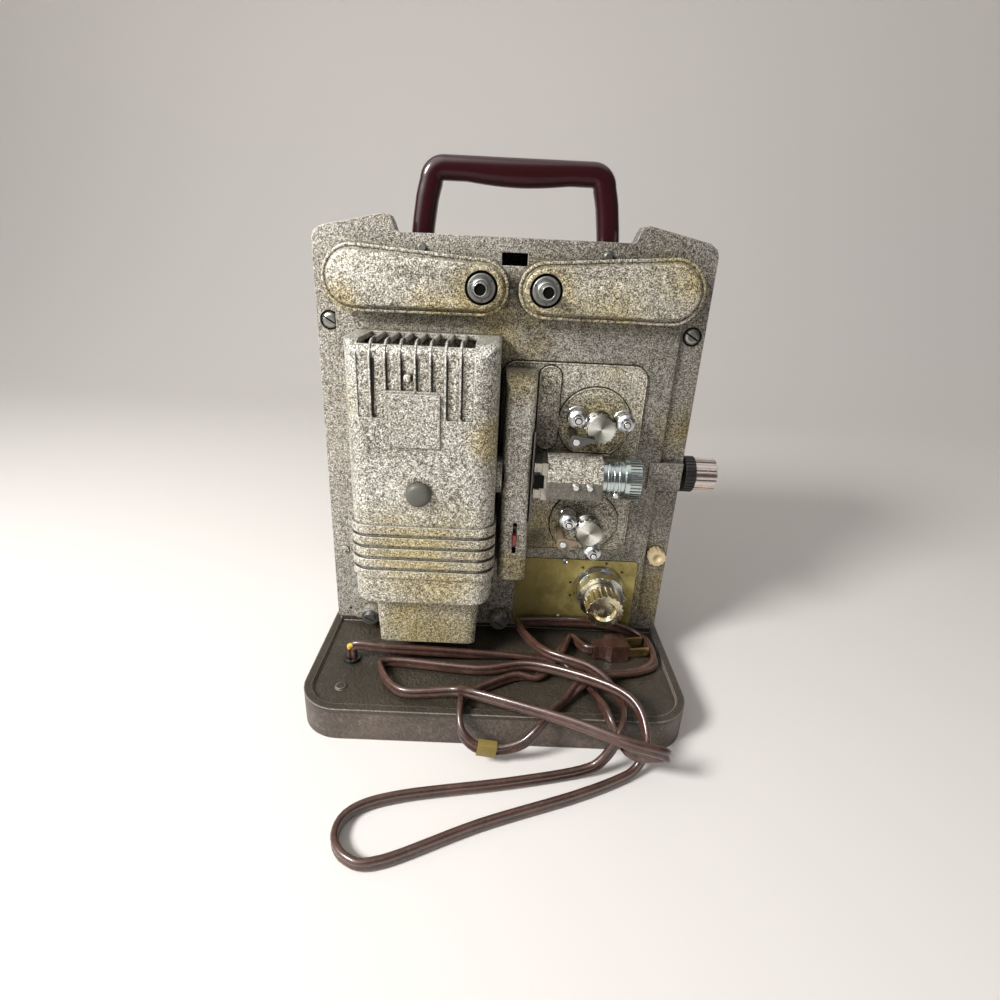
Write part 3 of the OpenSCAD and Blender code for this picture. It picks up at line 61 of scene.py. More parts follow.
def add_camera():
    forward = Vector((
        math.sin(CAMERA_YAW) * math.cos(CAMERA_PITCH),
        math.cos(CAMERA_YAW) * math.cos(CAMERA_PITCH),
        -math.sin(CAMERA_PITCH),
    ))
    level_right = Vector((math.cos(CAMERA_YAW), -math.sin(CAMERA_YAW), 0))
    level_up = level_right.cross(forward)
    right = level_right * math.cos(CAMERA_ROLL) + level_up * math.sin(CAMERA_ROLL)
    up = level_up * math.cos(CAMERA_ROLL) - level_right * math.sin(CAMERA_ROLL)
    turn = Matrix((right, up, -forward)).transposed().to_4x4()
    data = bpy.data.cameras.new("camera")
    data.sensor_width = SENSOR_MM
    data.lens = LENS_MM
    data.clip_start = NEAREST
    camera = bpy.data.objects.new("camera", data)
    camera.matrix_world = Matrix.Translation(CAMERA_AT) @ turn
    scene.collection.objects.link(camera)
    scene.camera = camera


add_camera()


# Places on the object that its finishes follow, in millimetres

SIDES = [(-1, "left"), (1, "right")]
FIN_FIRST_X = -80.24
FIN_PITCH = 8.6625
HOUSE_SIDES = (-51.35, 45.65)
GATE_SIDES = (7.8, 9.8)
FRAME_SCREW_X = 116.8
FRAME_SCREW_Z = 250.7
SPROCKET_X = 60
UPPER_SPROCKET_Z = 194
LOWER_SPROCKET_Z = 120


# Shader maths

MASK_SAMPLES = 6


class Link:
    """A shader socket that can be added, multiplied and compared like a number."""

    def __init__(self, shade, socket):
        self.shade = shade
        self.socket = socket

    def math(self, operation, *others):
        return self.shade.node("ShaderNodeMath", [self, *others], operation=operation)

    def __add__(self, other):
        return self.math("ADD", other)

    __radd__ = __add__

    def __sub__(self, other):
        return self.math("SUBTRACT", other)

    def __rsub__(self, other):
        return self.shade.node("ShaderNodeMath", [other, self], operation="SUBTRACT")

    def __mul__(self, other):
        return self.math("MULTIPLY", other)

    __rmul__ = __mul__

    def __truediv__(self, other):
        return self.math("DIVIDE", other)

    def __pow__(self, other):
        return self.math("POWER", other)

    def lowest(self, other):
        return self.math("MINIMUM", other)

    def highest(self, other):
        return self.math("MAXIMUM", other)

    def step(self, low, high):
        """0 below low, 1 above high and a smooth rise between them; low may be above high."""
        return self.shade.node(
            "ShaderNodeMapRange", {"Value": self, "From Min": low, "From Max": high},
            interpolation_type="SMOOTHSTEP")

    def step_mm(self, low, high):
        return self.step(low * MM, high * MM)


class Shade:
    """One material, its shader, and short ways to add nodes to it."""

    def __init__(self, name, **values):
        self.material = bpy.data.materials.new(name)
        self.material.use_nodes = True
        self.tree = self.material.node_tree
        self.shader = self.tree.nodes["Principled BSDF"]
        self.place = self.node("ShaderNodeTexCoord", out="Object")
        for socket, value in values.items():
            self.set(socket.replace("_", " "), value)

    def plug(self, target, value):
        if isinstance(value, Link):
            self.tree.links.new(value.socket, target)
        elif isinstance(value, (tuple, list)) and len(value) == 3 and target.type == "RGBA":
            target.default_value = (*value, 1.0)
        else:
            target.default_value = value

    def set(self, socket, value):
        self.plug(self.shader.inputs[socket], value)

    def node(self, kind, inputs=None, out=0, stops=None, **settings):
        made = self.tree.nodes.new(kind)
        for key, value in settings.items():
            setattr(made, key, value)
        if stops:
            ramp = made.color_ramp
            while len(ramp.elements) < len(stops):
                ramp.elements.new(0.5)
            for element, (at, colour) in zip(ramp.elements, stops):
                element.position = at
                element.color = (*colour, 1.0)
        named = inputs.items() if isinstance(inputs, dict) else enumerate(inputs or [])
        for key, value in named:
            self.plug(made.inputs[key], value)
        return Link(self, made.outputs[out])

    def noise(self, scale, detail=2.0, roughness=0.5, distortion=0.0):
        return self.node(
            "ShaderNodeTexNoise",
            {"Vector": self.place, "Scale": scale, "Detail": detail, "Roughness": roughness,
             "Distortion": distortion})

    def cells(self, scale):
        """0 at the middle of each of many soft cells, more towards their borders."""
        return self.node(
            "ShaderNodeTexVoronoi", {"Vector": self.place, "Scale": scale},
            feature="SMOOTH_F1", out="Distance")

    def mix(self, share, first, second, blend="MIX"):
        made = self.tree.nodes.new("ShaderNodeMix")
        made.data_type = "RGBA"
        made.blend_type = blend
        self.plug(made.inputs[0], share)
        self.plug(made.inputs[6], first)
        self.plug(made.inputs[7], second)
        return Link(self, made.outputs[2])

    def tinted(self, share, colour, tint):
        return self.mix(share, colour, self.mix(1.0, colour, tint, "MULTIPLY"))

    def ramp(self, value, stops):
        return self.node("ShaderNodeValToRGB", [value], stops=stops)

    def bump(self, height, distance, strength=1.0, normal=None):
        inputs = {"Height": height, "Distance": distance, "Strength": strength}
        if normal:
            inputs["Normal"] = normal
        return self.node("ShaderNodeBump", inputs)

    def axis(self, index, vector=None):
        return self.node("ShaderNodeSeparateXYZ", [vector or self.place], out=index)

    def direction(self):
        return self.node("ShaderNodeNewGeometry", out="Normal")

    def rounded(self, radius):
        """The surface's direction, with every edge rounded off by the radius."""
        return self.node("ShaderNodeBevel", {"Radius": radius}, samples=MASK_SAMPLES)

    def edges(self, radius):
        """Mask of convex and concave edges, and the rounded normal that goes with it."""
        rounded = self.rounded(radius)
        match = self.node("ShaderNodeVectorMath", [rounded, self.direction()], out=1,
                          operation="DOT_PRODUCT")
        return match.step(0.995, 0.86), rounded

    def shelter(self, distance):
        """1 in a deep corner, 0 in the open."""
        return 1.0 - self.node(
            "ShaderNodeAmbientOcclusion", {"Distance": distance}, out="AO", samples=MASK_SAMPLES)

    def near(self, spots):
        """1 at the middle of any of the spots, each (x, y, z, radius) in millimetres, 0 outside all."""
        whole = None
        for x, y, z, radius in spots:
            far = self.node("ShaderNodeVectorMath", [self.place, Vector((x, y, z)) * MM],
                            out=1, operation="DISTANCE")
            share = far.step_mm(radius, radius * 0.25)
            whole = share if whole is None else whole.highest(share)
        return whole


# Enamel with a hammered look

ENAMEL_GROUND = (0.050, 0.041, 0.031)
ENAMEL_MIDDLE = (0.31, 0.285, 0.240)
ENAMEL_FLECK = (0.86, 0.83, 0.76)
BRIGHTEST = 0.96
OLIVE_TINT = (0.90, 0.78, 0.44)
CORNER_SHADE = (0.022, 0.017, 0.012)
CREASE_SHADE = (0.030, 0.022, 0.013)
DARK_SPOT_COLOUR = (0.030, 0.025, 0.019)
FIN_SHADE = (0.014, 0.012, 0.009)
FALLOFF_SHADE_TINT = (0.22, 0.21, 0.19)
FACET_PAINT = (0.11, 0.105, 0.085)
SOFT_EDGE = 5.0 * MM
SLOT_SHORT_END = 219.0
SLOT_LONG_END = 203.0


def fin_shade(s):
    """Painted shadow: 1 in a line to the right of each fin and on the walls beside the slots that
    face right.
    """
    along = (s.axis(0) - FIN_FIRST_X * MM) / (FIN_PITCH * MM)
    height = s.axis(2)
    share = along.math("FRACT")
    first = along.step(0.95, 0.9) * height.step_mm(200, 236)
    width = first * 0.16 + 0.14
    line = share.step(0.05, 0.07) * (share - width).step(0.02, 0.0)
    beside_pad = (along - 2.9).math("ABSOLUTE").step(1.9, 2.05)
    in_short = height.step_mm(SLOT_SHORT_END - 0.5, SLOT_SHORT_END + 0.5)
    in_long = height.step_mm(SLOT_LONG_END - 0.5, SLOT_LONG_END + 0.5) * beside_pad
    across = along.step(-0.02, 0.0) * along.step(6.4, 6.3)
    in_front = s.axis(1).step_mm(-37, -38)
    below_rim = 1.0 - height.step_mm(236, 238)
    faces_right = s.axis(0, s.direction()).step(0.55, 0.8)
    return across * in_front * in_short.highest(in_long) * (line * below_rim).highest(faces_right)


def hammered_enamel(name, light=1.0, warm=0.0, patina=0.25, spots=(), radius=0.9, facet=None,
                    fade=None, dark_spots=(), soft_sides=None, groove=0.75, finned=False):
    """Beige flecks over a brown ground, olive where grime has settled, with painted shade in deep
    corners and in every crease, and a painted highlight along its edges.

    The share light scales its colours as a painted lighting level for the part. It is painted
    darker to the right by the share fade, as shade, and black at each dark spot it is given:
    painted shadow on the sprocket plate, dark patches on the frame. The two upright edges of a box
    with soft_sides (middle x, half width) are broadly rounded. A finned box has a painted shadow
    on the right of each fin. A facet (front y, top z) is plain paint, in front and below.
    """
    s = Shade(name, Metallic=0.25, Specular_IOR_Level=0.5)
    fleck = s.noise(1350, 2.0, 0.6, 0.7)
    swirl = s.noise(480, 2.0, 0.5, 0.6)
    tone = s.noise(24, 4.0, 0.55)
    grain = fleck + (swirl - 0.5) * 0.35 + (tone - 0.5) * 0.12
    # light is a painted lighting level: each part gets a lit or shaded copy of the one enamel
    tint = (light, light * (1 - 0.03 * warm), light * (1 - 0.16 * warm))
    ground, middle, pale = [
        tuple(min(c * t, BRIGHTEST) for c, t in zip(colour, tint))
        for colour in (ENAMEL_GROUND, ENAMEL_MIDDLE, ENAMEL_FLECK)]
    colour = s.ramp(grain, [(0.38, ground), (0.50, middle), (0.62, pale)])
    edge, rounded = s.edges(radius * MM)
    if soft_sides:
        middle_x, half = soft_sides
        off = (s.axis(0) - middle_x * MM).math("ABSOLUTE")
        rounded = s.mix(off.step_mm(half - 7, half - 4), rounded, s.rounded(SOFT_EDGE))
    hidden = s.shelter(0.011)
    crease = s.shelter(0.0030).step(0.14, 0.60)
    cloud = s.noise(30, 5.0, 0.62, 0.5)
    olive = (cloud.step(0.66 - 0.3 * patina, 0.92 - 0.3 * patina) * 0.6 + hidden * 0.5).lowest(1.0)
    if spots:
        olive = olive.highest(s.near(spots) * cloud.step(0.18, 0.62) * 0.92)
    colour = s.tinted(olive, colour, OLIVE_TINT)
    # painted shade: near black in deep corners
    colour = s.mix(hidden.step(0.28, 0.9) * 0.9, colour, CORNER_SHADE)
    # painted shade in every crease, as dark as groove sets
    colour = s.mix(crease * groove, colour, CREASE_SHADE)
    # painted highlight: pale along the edges outside the creases
    colour = s.mix(edge * (1.0 - crease) * 0.6, colour, tuple(0.85 * c for c in pale))
    # painted shade: darker towards the right by the share fade
    if fade:
        colour = s.tinted(s.axis(0).step_mm(-80, 125) * fade, colour, FALLOFF_SHADE_TINT)
    # painted shadow to the right of each fin
    if finned:
        colour = s.mix(fin_shade(s) * 0.93, colour, FIN_SHADE)
    # black at each dark spot: painted shadow on the sprocket plate, dark patches on the frame
    if dark_spots:
        colour = s.mix(s.near(dark_spots) * (cloud * 1.3).lowest(1.0), colour, DARK_SPOT_COLOUR)
    if facet:
        front, top = facet
        plain = s.axis(1).step_mm(front + 0.25, front) * s.axis(2).step_mm(top + 0.3, top - 0.3)
        colour = s.mix(plain * 0.85, colour, FACET_PAINT)
    s.set("Base Color", colour)
    s.set("Roughness", 0.30 + fleck * 0.2)
    s.set("Normal", s.bump(grain, 0.00022, 0.8, rounded))
    return s.material


# The other materials

HOLE_SHADE = (0.012, 0.011, 0.010)
WELL_TOP = 25.5
WELL_FLOOR = 21.0
YELLOW_DAB = (-104.2, -51.0, 34.5, 4.0)


def wrinkle_enamel(name):
    """Dark brown crinkle paint, worn smooth and shiny along its edges and lighter there, partly as
    wear and partly as a painted highlight; painted shade in its corners, and darker and glossier
    in the tray's well.
    """
    s = Shade(name, Specular_IOR_Level=0.55)
    crinkle = s.cells(560) + s.noise(1100, 3.0) * 0.5
    tone = s.noise(30, 5.0, 0.6)
    edge, rounded = s.edges(0.0014)
    hidden = s.shelter(0.012)
    colour = s.ramp(tone, [(0.3, (0.056, 0.043, 0.034)), (0.7, (0.155, 0.118, 0.092))])
    dust = s.noise(240, 4.0, 0.7).step(0.5, 0.8)
    colour = s.mix(dust * 0.5, colour, (0.34, 0.29, 0.25))
    colour = s.mix(crinkle.step(0.75, 0.25) * 0.55, colour, (0.030, 0.024, 0.021))
    chips = s.noise(330, 3.0, 0.75).step(0.68, 0.72) * s.noise(22, 2.0).step(0.52, 0.66)
    colour = s.mix(chips * 0.8, colour, (0.45, 0.42, 0.38))
    # painted shade: near black in corners
    colour = s.mix(hidden.step(0.2, 0.9) * 0.7, colour, (0.012, 0.010, 0.008))
    below_rim = s.axis(2).step_mm(WELL_TOP + 1, WELL_TOP - 1)
    well = below_rim * s.axis(2).step_mm(WELL_FLOOR - 0.5, WELL_FLOOR + 0.5) * (1.0 - edge)
    colour = s.mix(well * 0.72, colour, (0.030, 0.026, 0.016))
    # lighter along edges: partly wear, partly a painted highlight
    colour = s.mix(edge * 0.55, colour, (0.52, 0.45, 0.39))
    s.set("Base Color", colour)
    s.set("Roughness", 0.46 - edge * 0.16 + dust * 0.2 - well * 0.12)
    s.set("Normal", s.bump(crinkle, 0.00050, 0.9, rounded))
    return s.material


def polished_metal(name, colour=(0.72, 0.73, 0.74), dull=0.10, grime_and_shade=0.35):
    """Plated or turned metal with stains, and painted shade, black, deep in holes and corners."""
    s = Shade(name, Metallic=1.0)
    edge, rounded = s.edges(0.0004)
    stain = s.noise(190, 4.0, 0.65).step(0.5, 0.78) * grime_and_shade
    deep = s.shelter(0.005).step(0.30, 0.80)
    base = s.mix(stain, colour, tuple(0.38 * c for c in colour))
    base = s.mix(edge * 0.35, base, tuple(min(1.2 * c, 0.95) for c in colour))
    # painted shade: black deep in holes and corners
    base = s.mix(deep * 0.95, base, HOLE_SHADE)
    s.set("Base Color", base)
    s.set("Roughness", dull + stain * 0.8 + s.noise(60, 3.0) * 0.06 + deep * 0.4)
    s.set("Normal", s.bump(s.noise(900, 2.0), 0.00002, 0.3, rounded))
    return s.material


def turned_face(name, x, z, turn):
    """A face-turned disc: rings round its axis, and light and dark wedges painted as the reflections
    that they show, with painted shade black in deep corners.
    """
    s = Shade(name, Metallic=1.0)
    right = s.axis(0) - x * MM
    up = s.axis(2) - z * MM
    radius = (right * right + up * up) ** 0.5
    # painted reflection: a light and a dark wedge round the axis, set by turn
    wedge = ((up.math("ARCTAN2", right) + turn) * 2.0).math("COSINE")
    rings = (radius * 16000.0).math("SINE")
    painted_glint = wedge + (s.noise(700, 3.0, 0.6) - 0.5) * 0.5
    base = s.ramp(painted_glint * 0.5 + 0.5, [(0.05, (0.20, 0.20, 0.165)), (0.5, (0.52, 0.52, 0.46)),
                                      (0.9, (0.98, 0.98, 0.93))])
    deep = s.shelter(0.004).step(0.3, 0.85)
    # painted shade: black in deep corners
    s.set("Base Color", s.mix(deep * 0.9, base, HOLE_SHADE))
    s.set("Roughness", 0.24 + deep * 0.3)
    s.set("Normal", s.bump(rings, 0.00003, 0.5, s.rounded(0.0003)))
    return s.material


def lacquered_plate(name):
    """Gold lacquer on thin sheet, with brown stains, fine specks and painted shade in its corners."""
    s = Shade(name, Metallic=0.55, Specular_IOR_Level=0.5)
    edge, rounded = s.edges(0.0003)
    cloud = s.noise(55, 6.0, 0.70, 0.2)
    speck = s.noise(900, 2.0, 0.7).step(0.66, 0.74)
    dark_side = s.axis(0).step_mm(52, 16)
    hidden = s.shelter(0.006)
    base = s.ramp(cloud, [(0.30, (0.22, 0.17, 0.05)), (0.50, (0.42, 0.345, 0.115)),
                          (0.72, (0.60, 0.50, 0.19))])
    base = s.mix(dark_side * 0.55, base, (0.12, 0.088, 0.03))
    base = s.mix(speck * 0.7, base, (0.06, 0.045, 0.02))
    base = s.mix(edge * 0.6, base, (0.80, 0.70, 0.36))
    # painted shade: dark in corners
    base = s.mix(hidden.step(0.2, 0.9) * 0.75, base, (0.03, 0.022, 0.010))
    s.set("Base Color", base)
    s.set("Roughness", 0.28 + cloud * 0.3)
    s.set("Normal", s.bump(cloud + speck * 0.3, 0.00006, 0.4, rounded))
    return s.material


def moulding(name, colour, rough=0.25, coat=0.6, depth=0.0, variation=0.25, worn=None, front=None,
             shine=0.5):
    """Moulded plastic, with its coat on what faces up and painted shade in its corners; behind the
    depth called front it is black.
    """
    s = Shade(name, Coat_Roughness=0.08, Specular_IOR_Level=shine)
    s.set("Coat Weight", s.axis(2, s.direction()).step(-0.35, 0.25) * coat)
    tone = s.noise(45, 4.0, 0.55)
    edge, rounded = s.edges(0.0005)
    base = s.mix(tone.step(0.3, 0.7) * variation, colour, tuple(0.55 * c for c in colour))
    # painted shade: darker in corners
    base = s.mix(s.shelter(0.004) * 0.65, base, tuple(0.25 * c for c in colour))
    if worn:
        base = s.mix(edge * 0.6, base, worn)
    if front:
        base = s.mix(s.axis(1).step_mm(front - 0.1, front + 0.1), base, (0.01, 0.01, 0.01))
    scratch = s.noise(1500, 3.0, 0.7)
    s.set("Base Color", base)
    s.set("Roughness", rough + scratch * 0.15)
    s.set("Normal", s.bump(scratch, 0.00004 + depth, 0.35, rounded))
    return s.material


def clear_glass(name):
    s = Shade(name, Transmission_Weight=0.9, IOR=1.5)
    haze = s.noise(120, 4.0, 0.6)
    s.set("Base Color", s.ramp(haze, [(0.35, (0.80, 0.86, 1.0)), (0.7, (0.95, 0.97, 1.0))]))
    s.set("Roughness", 0.02 + haze * 0.05)
    return s.material


def brown_rubber(name):
    """Ribbed brown insulation with a dab of yellow paint where it leaves the base, and painted
    shade where it is hidden.
    """
    s = Shade(name, Coat_Weight=0.6, Coat_Roughness=0.16, Specular_IOR_Level=0.55)
    tone = s.noise(60, 4.0, 0.6)
    dust = s.noise(420, 4.0, 0.7).step(0.5, 0.85)
    hidden = s.shelter(0.003)
    colour = s.ramp(tone, [(0.3, (0.040, 0.016, 0.011)), (0.72, (0.102, 0.046, 0.032))])
    colour = s.mix(dust * 0.30, colour, (0.40, 0.30, 0.27))
    # painted shade: near black where hidden
    colour = s.mix(hidden.step(0.15, 0.9) * 0.8, colour, (0.012, 0.006, 0.005))
    colour = s.mix(s.near([YELLOW_DAB]).step(0.1, 0.3), colour, (0.72, 0.46, 0.05))
    s.set("Base Color", colour)
    s.set("Roughness", 0.28 + dust * 0.25)
    s.set("Normal", s.bump(s.noise(1300, 3.0, 0.6), 0.00005, 0.5))
    return s.material


# Olive stains on the enamel, painted shadow right of the gate housing on the sprocket plate
# and dark patches on the frame, each spot (x, y, z, radius) in millimetres

HOUSE_STAINS = [(-50, -56, 108, 62), (-50, -50, 50, 60), (-8, -50, 190, 22), (-92, -30, 210, 30)]
FRAME_STAINS = [(118, 0, 60, 40), (118, 0, 190, 26), (-104, 0, 272, 22), (0, -3, 250, 40)]
FRAME_DARK_SPOTS = [(side * x, y, z, radius) for side, _ in SIDES for x, y, z, radius in [
    (66, -1, 309, 9), (FRAME_SCREW_X, 0, FRAME_SCREW_Z, 8.5)]]
PLATE_STAINS = [(62, -5, 190, 34), (30, -5, 110, 34)]
PLATE_SHADOW_SPOTS = [(20, -5, 186, 16), (26, -5, 104, 15)]
GATE_STAINS = [(8, -32, 225, 24), (8, -32, 92, 24)]
LEFT_ARM_STAINS = [(-20, -16, 268, 34), (-50, -10, 258, 26), (-106, -10, 262, 20)]
RIGHT_ARM_STAINS = [(20, -16, 270, 32), (60, -10, 258, 34), (104, -10, 292, 30)]


# Finishes of the imported nodes

# The light of each enamel is a painted lighting level for its part, and the frame's fade paints it
# darker to the right as shade.
FINISH = {
    "house": hammered_enamel(
        "house_enamel", light=1.24, warm=0.25, patina=0.25, spots=HOUSE_STAINS,
        soft_sides=HOUSE_SIDES, groove=0.92, finned=True),
    "frame": hammered_enamel(
        "frame_enamel", light=0.90, warm=0.1, patina=0.3, spots=FRAME_STAINS, fade=0.50,
        dark_spots=FRAME_DARK_SPOTS),
    "panel": hammered_enamel(
        "plate_enamel", light=1.05, warm=0.35, patina=0.6, spots=PLATE_STAINS, radius=1.2,
        dark_spots=PLATE_SHADOW_SPOTS),
    # painted shade: near black, for pieces set in hollows and rings where shade falls
    "shade_black": moulding("painted_shade_black", (0.006, 0.006, 0.005), 0.9, 0.0, shine=0.05),
    # dark lines: painted shade at the feet of the sprocket plate, and the dark rings on the roller caps
    "grime_and_shade": moulding("grime_and_shade_lines", (0.055, 0.044, 0.028), 0.8, 0.0, variation=0.8, shine=0.1),
    "rosy": polished_metal("rosy_chrome", (0.74, 0.64, 0.60), 0.14, 0.5),
    "lens": polished_metal("green_chrome", (0.62, 0.70, 0.69), 0.12, 0.4),
    "gate": hammered_enamel(
        "gate_enamel", light=1.3, warm=0.4, patina=0.45, spots=GATE_STAINS, soft_sides=GATE_SIDES),
    "holder": hammered_enamel(
        "holder_enamel", light=1.05, warm=0.35, patina=0.25, facet=(-37.1, 160.2)),
    "arm_left": hammered_enamel(
        "left_arm_enamel", light=1.1, warm=0.3, patina=0.25, spots=LEFT_ARM_STAINS, groove=0.45),
    "arm_right": hammered_enamel(
        "right_arm_enamel", light=1.0, warm=0.5, patina=0.5, spots=RIGHT_ARM_STAINS, groove=0.5),
    "rear": hammered_enamel("rear_enamel", light=0.95, warm=0.2, patina=0.3),
    "base": wrinkle_enamel("wrinkle_enamel"),
    "chrome": polished_metal("chrome_plate"),
    "shoe": polished_metal("worn_shoe_plate", (0.44, 0.415, 0.36), 0.24, 0.6),
    "knob": polished_metal("brassy_chrome", (0.80, 0.71, 0.50), 0.12, 0.45),
    "steel": polished_metal("turned_steel", (0.35, 0.35, 0.33), 0.30, 0.5),
    "dark_steel": polished_metal("blackened_steel", (0.16, 0.155, 0.15), 0.26, 0.4),
    "upper_face": turned_face("upper_turned_face", SPROCKET_X, UPPER_SPROCKET_Z, 0.5),
    "lower_face": turned_face("lower_turned_face", SPROCKET_X, LOWER_SPROCKET_Z, 0.9),
    "gold": lacquered_plate("gold_lacquer"),
    "brass": polished_metal("dull_brass", (0.62, 0.45, 0.20), 0.30, 0.4),
    "maroon": moulding("maroon_moulding", (0.026, 0.0022, 0.0040), 0.16, 1.0, shine=0.25),
    "black": moulding("black_moulding", (0.012, 0.011, 0.010), 0.35, 0.3),
    "red": moulding("red_moulding", (0.45, 0.012, 0.008), 0.2, 0.7, front=-32.0),
    "amber": moulding("amber_moulding", (0.24, 0.175, 0.11), 0.22, 0.8),
    "ivory": moulding("ivory_moulding", (0.66, 0.52, 0.30), 0.3, 0.5, variation=0.5),
    "latch": moulding("latch_enamel", (0.13, 0.125, 0.105), 0.45, 0.1, depth=0.00008, variation=0.6,
                      worn=(0.4, 0.38, 0.33)),
    "glass": clear_glass("clear_glass"),
    "fibre": moulding("laminated_fibre", (0.30, 0.15, 0.06), 0.5, 0.1),
    "aluminium": polished_metal("cast_aluminium", (0.56, 0.56, 0.55), 0.4, 0.3),
    "rubber": brown_rubber("brown_rubber"),
    "tape": moulding("yellow_tape", (0.34, 0.25, 0.07), 0.3, 0.5, variation=0.9),
    "print": moulding("black_print", (0.015, 0.012, 0.008), 0.5, 0.0),
}

NODE_FINISH = {
    "base": ["base_tray", "bottom_cover"],
    "house": ["lamp_house"],
    "frame": ["front_frame", "frame_lugs"],
    "panel": ["sprocket_plate"],
    "gate": ["gate_housing"],
    "holder": ["lens_holder"],
    "arm_left": ["left_arm"],
    "arm_right": ["right_arm"],
    "rear": ["rear_housing"],
    "chrome": [
        "lens_screws", "roller_studs", "selector_collar", "left_spindle", "right_spindle",
        "upper_left_roller", "upper_right_roller", "lower_left_roller", "lower_right_roller",
    ],
    "shoe": ["gate_shoe"],
    "knob": ["speed_knob"],
    "rosy": ["inching_knob"],
    "lens": ["lens_barrel", "focus_ring"],
    "upper_face": ["upper_sprocket"],
    "lower_face": ["lower_sprocket"],
    "steel": [
        "base_screws", "rear_screws", "handle_screws", "frame_screws", "main_shaft", "worm_shaft",
        "motor_pulley",
    ],
    "dark_steel": ["shutter", "motor", "upper_film_lever", "aperture_plate"],
    "gold": ["control_plate"],
    "brass": ["plug_prongs"],
    "maroon": ["handle"],
    "black": ["cord_grommet", "lamp_socket", "inching_disc"],
    "red": ["framing_lever"],
    "amber": ["lower_film_lever"],
    "ivory": ["side_knob"],
    "latch": ["lamp_house_latch"],
    "glass": ["lamp", "condenser_lenses", "lens_glass"],
    "fibre": ["selector_switch", "upper_gear", "lower_gear"],
    "aluminium": ["blower_fan", "reflector"],
    "rubber": ["cord", "drive_belt", "plug"],
    "tape": ["cord_tape"],
}


def dress(piece, finish):
    piece.data.materials.clear()
    piece.data.materials.append(FINISH[finish])


for finish, names in NODE_FINISH.items():
    for name in names:
        dress(nodes[name], finish)


# Modelling tools

def alone(piece):
    """Makes one object the only selected and the active one."""
    bpy.ops.object.select_all(action="DESELECT")
    piece.select_set(True)
    bpy.context.view_layer.objects.active = piece


def settle(piece, name=None):
    """Leaves a piece at the origin, unturned and unscaled, with its place in its mesh."""
    alone(piece)
    bpy.ops.object.transform_apply(location=True, rotation=True, scale=True)
    if name:
        piece.name = name
        piece.data.name = name
    return piece


def edit(piece):
    """Opens a piece in edit mode with nothing selected and returns its editable mesh."""
    alone(piece)
    bpy.ops.object.mode_set(mode="EDIT")
    bpy.ops.mesh.select_mode(type="VERT")
    bpy.ops.mesh.select_all(action="DESELECT")
    return bmesh.from_edit_mesh(piece.data)


def select_faces():
    bpy.ops.mesh.select_mode(type="FACE")
    bpy.ops.mesh.select_all(action="SELECT")


def extrude(x=0, y=0, z=0):
    bpy.ops.mesh.extrude_region_move(TRANSFORM_OT_translate={"value": (x, y, z)})


def close(piece):
    """Turns every face of an open piece outward and leaves edit mode."""
    bpy.ops.mesh.select_all(action="SELECT")
    bpy.ops.mesh.normals_make_consistent(inside=False)
    bpy.ops.object.mode_set(mode="OBJECT")
    return piece


def smooth(piece, degrees):
    alone(piece)
    bpy.ops.object.shade_smooth_by_angle(angle=math.radians(degrees))
    return piece


def finish_with(piece, kind, **settings):
    """Adds one modifier, sets it and applies it."""
    modifier = piece.modifiers.new(kind.lower(), kind)
    for key, value in settings.items():
        setattr(modifier, key, value)
    alone(piece)
    bpy.ops.object.modifier_apply(modifier=modifier.name)
    return piece


def join(name, pieces):
    alone(pieces[0])
    for piece in pieces[1:]:
        piece.select_set(True)
    bpy.ops.object.join()
    whole = bpy.context.object
    whole.name = name
    whole.data.name = name
    return whole


def place(piece, finish, body, *replaced, slot):
    """Gives a finished piece its material and its body, and hides the solids that it stands for."""
    dress(piece, finish)
    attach(piece, body)
    if replaced:
        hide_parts(*replaced)


def disc(vertices, radius, at=(0, 0, 0), turn=(0, 0, 0)):
    """A flat filled circle; its radius and place are in metres."""
    bpy.ops.object.select_all(action="DESELECT")
    bpy.ops.mesh.primitive_circle_add(
        vertices=vertices, radius=radius, fill_type="NGON", location=at, rotation=turn)
    return bpy.context.object


def rod(vertices, radius, length, at):
    """A cylinder along Y; its measures and place are in metres."""
    bpy.ops.mesh.primitive_cylinder_add(
        vertices=vertices, radius=radius, depth=length, location=at, rotation=(math.pi / 2, 0, 0))
    return settle(bpy.context.object)


def block(name, centre, size, edge):
    """A box with softened edges, in millimetres."""
    bpy.ops.mesh.primitive_cube_add(
        size=1, location=Vector(centre) * MM, scale=Vector(size) * MM)
    return finish_with(settle(bpy.context.object, name), "BEVEL", width=edge * MM, segments=2)


def drill(piece, tool):
    finish_with(piece, "BOOLEAN", object=tool, operation="DIFFERENCE", solver="EXACT")
    bpy.data.objects.remove(tool)


def outward(degrees):
    """The direction at an angle about Y, from X towards Z."""
    return Vector((math.cos(math.radians(degrees)), 0, math.sin(math.radians(degrees))))


def turned(name, x, z, profile, vertices=64):
    """A lathe-turned piece along Y, from a profile of (radius, y) in millimetres."""
    radius, y = profile[0]
    piece = settle(disc(vertices, radius * MM, Vector((x, y, z)) * MM, (math.pi / 2, 0, 0)), name)
    edit(piece)
    select_faces()
    for next_radius, next_y in profile[1:]:
        extrude(y=(next_y - y) * MM)
        share = next_radius / radius
        bpy.ops.transform.resize(value=(share, 1, share), center_override=(x * MM, 0, z * MM))
        radius, y = next_radius, next_y
    return smooth(close(piece), 32)


# Reel arms: a rounded plateau inside a flange with a fine groove between them

